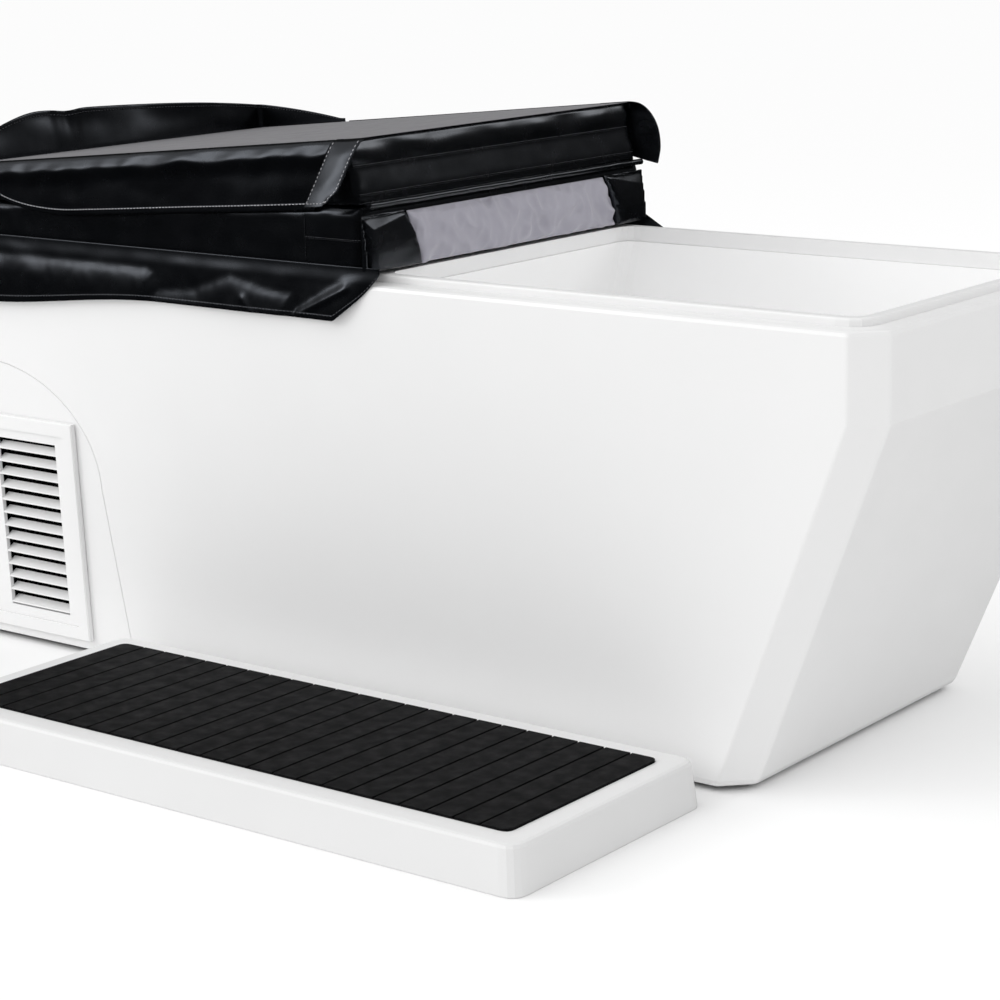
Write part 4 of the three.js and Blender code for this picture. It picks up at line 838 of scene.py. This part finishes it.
# Pull and creases of the fold face's seal pad and gussets: the pad and the gussets' inner edges are pulled
# to the far side, more so at their foot, and each gusset turns back above a slanting crease and beside an
# upright one, given as (y, z) on the near side. Only what faces the basin, by a share of its normal, is
# creased
pull = {"top": 811.0, "foot": 724.0, "least": 9.0, "most": 36.0, "bow": 7.0, "near": (-345.0, -290.0),
        "far": (262.0, 335.0)}
quilt = {"lift": 2.0, "depth": 12.5, "slant": 60.0, "upSize": 46.0, "sideSize": 80.0, "seed": 71,
         "fine": (0.5, 28.0, 34.0, 73)}
gusset = {"crease": ((-362.0, 788.0), (-296.0, 801.0)), "upright": ((-358.0, 728.0), (-362.0, 788.0)),
          "backSlope": 0.3, "sideSlope": 0.42, "slack": (0.5, 40.0, 36.0, 79)}
facesBasin = 0.2


def onFoldFace(p, n):
    return n.x > facesBasin


def sealPull(p):
    share = min(1.0, max(0.0, (pull["top"] - p.z) / (pull["top"] - pull["foot"])))
    (nearStart, nearEnd), (farStart, farEnd) = pull["near"], pull["far"]
    held = easedFrom(p.y, nearStart, nearEnd - nearStart) * (1 - easedFrom(p.y, farStart, farEnd - farStart))
    drawn = pull["least"] + (pull["most"] - pull["least"]) * share + pull["bow"] * math.sin(math.pi * share)
    return held * drawn


def padCrease(p, n):
    # tugged facets of the quilted cloth
    if n.x < facesBasin:
        return 0.0
    first = p.y / quilt["slant"] + p.z / quilt["slant"]
    second = p.z / quilt["upSize"] - p.y / quilt["sideSize"]
    facets = abs(ripple(first, second, quilt["seed"])) + abs(wrinkled(quilt["fine"], p.y, p.z))
    return quilt["lift"] - quilt["depth"] * facets


def gussetCrease(p, n):
    if n.x < facesBasin:
        return 0.0
    y = -abs(p.y)
    (y0, z0), (y1, z1) = gusset["crease"]
    above = p.z - z0 - (z1 - z0) * (y - y0) / (y1 - y0)
    (y0, z0), (y1, z1) = gusset["upright"]
    beside = y0 + (y1 - y0) * (p.z - z0) / (z1 - z0) - y
    turned = max(0.0, gusset["backSlope"] * above, gusset["sideSlope"] * beside)
    return wrinkled(gusset["slack"], p.y - p.z, p.z) - turned


upperPad = {"finish": "vinyl", "voxel": 8.6, "body": "cover_top", "slot": "cover_vinyl", "fill": 0.85,
            "cap": 5.0, "swells": onUpperSide, "crease": upperCrease}
lowerPad = {"finish": "vinyl", "voxel": 10.0, "body": "tub", "slot": "cover_vinyl", "fill": 0.85, "cap": 4.0,
            "swells": onLowerSide, "crease": lowerCrease}
sealPad = {"finish": "padding", "voxel": 3.5, "body": "tub", "slot": "cover_grey", "fill": 0.6, "cap": 2.5,
           "swells": onFoldFace, "crease": padCrease, "pull": sealPull}
gussetPad = {"finish": "vinyl", "voxel": 2.5, "body": "tub", "slot": "cover_vinyl", "fill": 0.5, "cap": 1.5,
             "swells": onFoldFace, "crease": gussetCrease, "pull": sealPull}

upperPanel = padFromNode("cover_upper", "cover_upper_panel", upperPad)
lowerPanel = padFromNode("cover_lower", "cover_lower_panel", lowerPad)
padFromNode("fold_pad", "fold_seal_pad", sealPad)
for side in sign:
    padFromNode("fold_gusset_" + side + "_side", "fold_gusset_" + side, gussetPad)
print("padded pieces made")


# Seams sewn into the padded pieces, found by lines cast onto them from outside
seamThread = {"pitch": 5.0, "length": 3.6, "radius": 0.4, "proud": 0.3}
seamCord = {"pitch": 4.0, "length": 4.6, "radius": 1.0, "proud": 0.0}
seams = {"threadAbove": 2.5, "foldFromX": 260.0, "foldHalf": 368.0, "foldSteps": 180, "sideFromY": -460.0,
         "cornerX": 74.0, "cornerEndX": 184.0, "low": 736.0, "high": 806.0, "middle": 770.0,
         "uprightSteps": 24, "levelSteps": 30}


def sewn(name, piece, starts, towards, body):
    # a cord and a row of stitches beside it, where lines from the starts meet the piece
    graph = bpy.context.evaluated_depsgraph_get()
    skin = BVHTree.FromObject(piece, graph)
    path = []
    for start in starts:
        place, facing, _, _ = skin.ray_cast(start * mm, towards)
        if place is not None:
            path.append((place / mm, facing))
    beside = [(place + Vector((0, 0, seams["threadAbove"])), facing) for place, facing in path]
    rows = [stitches(name + "_cord", path, Matrix(), seamCord, "vinyl"),
            stitches(name + "_stitching", beside, Matrix(), seamThread, "darkThread")]
    for row in rows:
        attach(row, body)


def straightLine(first, last, steps):
    return [Vector(first).lerp(Vector(last), i / steps) for i in range(steps + 1)]


def sewSeams():
    backwards, inwards = Vector((-1, 0, 0)), Vector((0, 1, 0))
    for seamName in ("upperSeam", "lowerSeam"):
        x, half, z = seams["foldFromX"], seams["foldHalf"], foldFace[seamName]
        line = straightLine((x, -half, z), (x, half, z), seams["foldSteps"])
        sewn("fold_face_" + seamName.lower(), upperPanel, line, backwards, "cover_top")
    x, y = seams["cornerX"], seams["sideFromY"]
    upright = straightLine((x, y, seams["low"]), (x, y, seams["high"]), seams["uprightSteps"])
    sewn("corner_upright_seam", lowerPanel, upright, inwards, "tub")
    z = seams["middle"]
    level = straightLine((x, y, z), (seams["cornerEndX"], y, z), seams["levelSteps"])
    sewn("corner_level_seam", lowerPanel, level, inwards, "tub")


sewSeams()
print("seams sewn")


# Rolled welt along the fold
welt = {"radius": 5.0, "sides": 16, "steps": 150, "half": 369.0, "sag": (0.9, 45.0, 1.0, 97), "sagRow": 0.2,
        "sway": (0.6, 35.0, 1.0, 101), "swayRow": 0.8}


def makeWelt():
    bm = bmesh.new()
    turn = Matrix.Rotation(math.pi / 2, 4, "X")
    start = lowerPlace @ Matrix.Translation((0, -welt["half"] * mm, 0)) @ turn
    bmesh.ops.create_circle(bm, cap_ends=True, segments=welt["sides"], radius=welt["radius"] * mm,
                            matrix=start)
    edges = list(bm.edges)
    stride = 2 * welt["half"] / welt["steps"] * mm
    for _ in range(welt["steps"]):
        grown = bmesh.ops.extrude_edge_only(bm, edges=edges)["geom"]
        verts = [item for item in grown if isinstance(item, bmesh.types.BMVert)]
        edges = [item for item in grown if isinstance(item, bmesh.types.BMEdge)]
        bmesh.ops.translate(bm, verts=verts, vec=(0, stride, 0))
    bmesh.ops.contextual_create(bm, geom=edges)
    for vert in bm.verts:
        y = vert.co.y / mm
        vert.co.z += wrinkled(welt["sag"], y, welt["sagRow"]) * mm
        vert.co.x += wrinkled(welt["sway"], y, welt["swayRow"]) * mm
    bmesh.ops.recalc_face_normals(bm, faces=bm.faces)
    piece = newPiece("fold_piping", meshFrom(bm, "fold_piping"), finishes["vinyl"])
    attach(piece, "tub")
    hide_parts("fold_welt")


makeWelt()
print("welt made")


def flatArea(piece):
    return sum(polygon.area for polygon in piece.data.polygons)


for piece, sewnOn, tabPiece, sewnOnTab in flapPieces.values():
    flatArea(piece)
    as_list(sewnOn)
    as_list(sewnOnTab)
flatArea(endFlapPieces[0])
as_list(endFlapPieces[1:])
for piece, hem, rows in skirtPieces:
    flatArea(piece)


# Floor and light; room and floor are darker to glossy rays, as in a studio hung with black cloth beside its
# lamps
studio = {
    "floorSize": 120.0, "floorTint": "#fafafa", "floorInGloss": "#1c1c1c", "floorRough": 0.9,
    "room": "#ffffff", "world": 0.84, "worldInGloss": 0.05, "bounces": 10,
    "sun": {"from": (-0.45, -0.55, 0.70), "strength": 0.8, "spread": 70.0},
    "lamps": {
        "front": {"place": (-3.4, -3.7, 2.5), "target": (-0.3, -0.3, 0.6), "size": (1.6, 1.6),
                  "power": 36.0},
        "right": {"place": (2.4, 3.5, 3.0), "target": (0.2, 0.0, 0.8), "size": (1.5, 1.0), "power": 24.0},
    },
}


def makeFloor(settings):
    bm = bmesh.new()
    bmesh.ops.create_grid(bm, x_segments=1, y_segments=1, size=settings["floorSize"] / 2)
    material, tree, shader = newMaterial("matte_studio_floor")
    shader.inputs["Roughness"].default_value = settings["floorRough"]
    shader.inputs["Specular IOR Level"].default_value = 0.0
    gloss = addNode(tree, "ShaderNodeLightPath").outputs["Is Glossy Ray"]
    tint = tinted(tree, gloss, settings["floorTint"], settings["floorInGloss"])
    tree.links.new(tint, shader.inputs["Base Color"])
    newPiece("floor", meshFrom(bm, "floor"), material)


def makeRoom(settings):
    world = bpy.data.worlds.new("studio")
    world.use_nodes = True
    sky = world.node_tree
    seen = addNode(sky, "ShaderNodeLightPath").outputs["Is Glossy Ray"]
    inputs = {"Value": seen, "To Min": settings["world"], "To Max": settings["worldInGloss"]}
    level = addNode(sky, "ShaderNodeMapRange", inputs).outputs["Result"]
    sky.nodes["Background"].inputs["Color"].default_value = linear(settings["room"])
    sky.links.new(level, sky.nodes["Background"].inputs["Strength"])
    bpy.context.scene.world = world


def aimed(light, place, target):
    holder = bpy.data.objects.new(light.name, light)
    holder.location = place
    holder.rotation_euler = (Vector(target) - Vector(place)).to_track_quat("-Z", "Y").to_euler()
    holder.visible_camera = False
    bpy.context.scene.collection.objects.link(holder)


def makeLights(settings):
    sun = bpy.data.lights.new("sky_panel", "SUN")
    sun.energy = settings["sun"]["strength"]
    sun.angle = math.radians(settings["sun"]["spread"])
    aimed(sun, settings["sun"]["from"], (0, 0, 0))
    for name, own in settings["lamps"].items():
        lamp = bpy.data.lights.new(name, "AREA")
        lamp.shape = "RECTANGLE"
        lamp.size, lamp.size_y = own["size"]
        lamp.energy = own["power"]
        aimed(lamp, own["place"], own["target"])


makeFloor(studio)
makeRoom(studio)
makeLights(studio)
bpy.context.scene.view_settings.view_transform = "Standard"
bpy.context.scene.cycles.diffuse_bounces = studio["bounces"]
print("studio made")
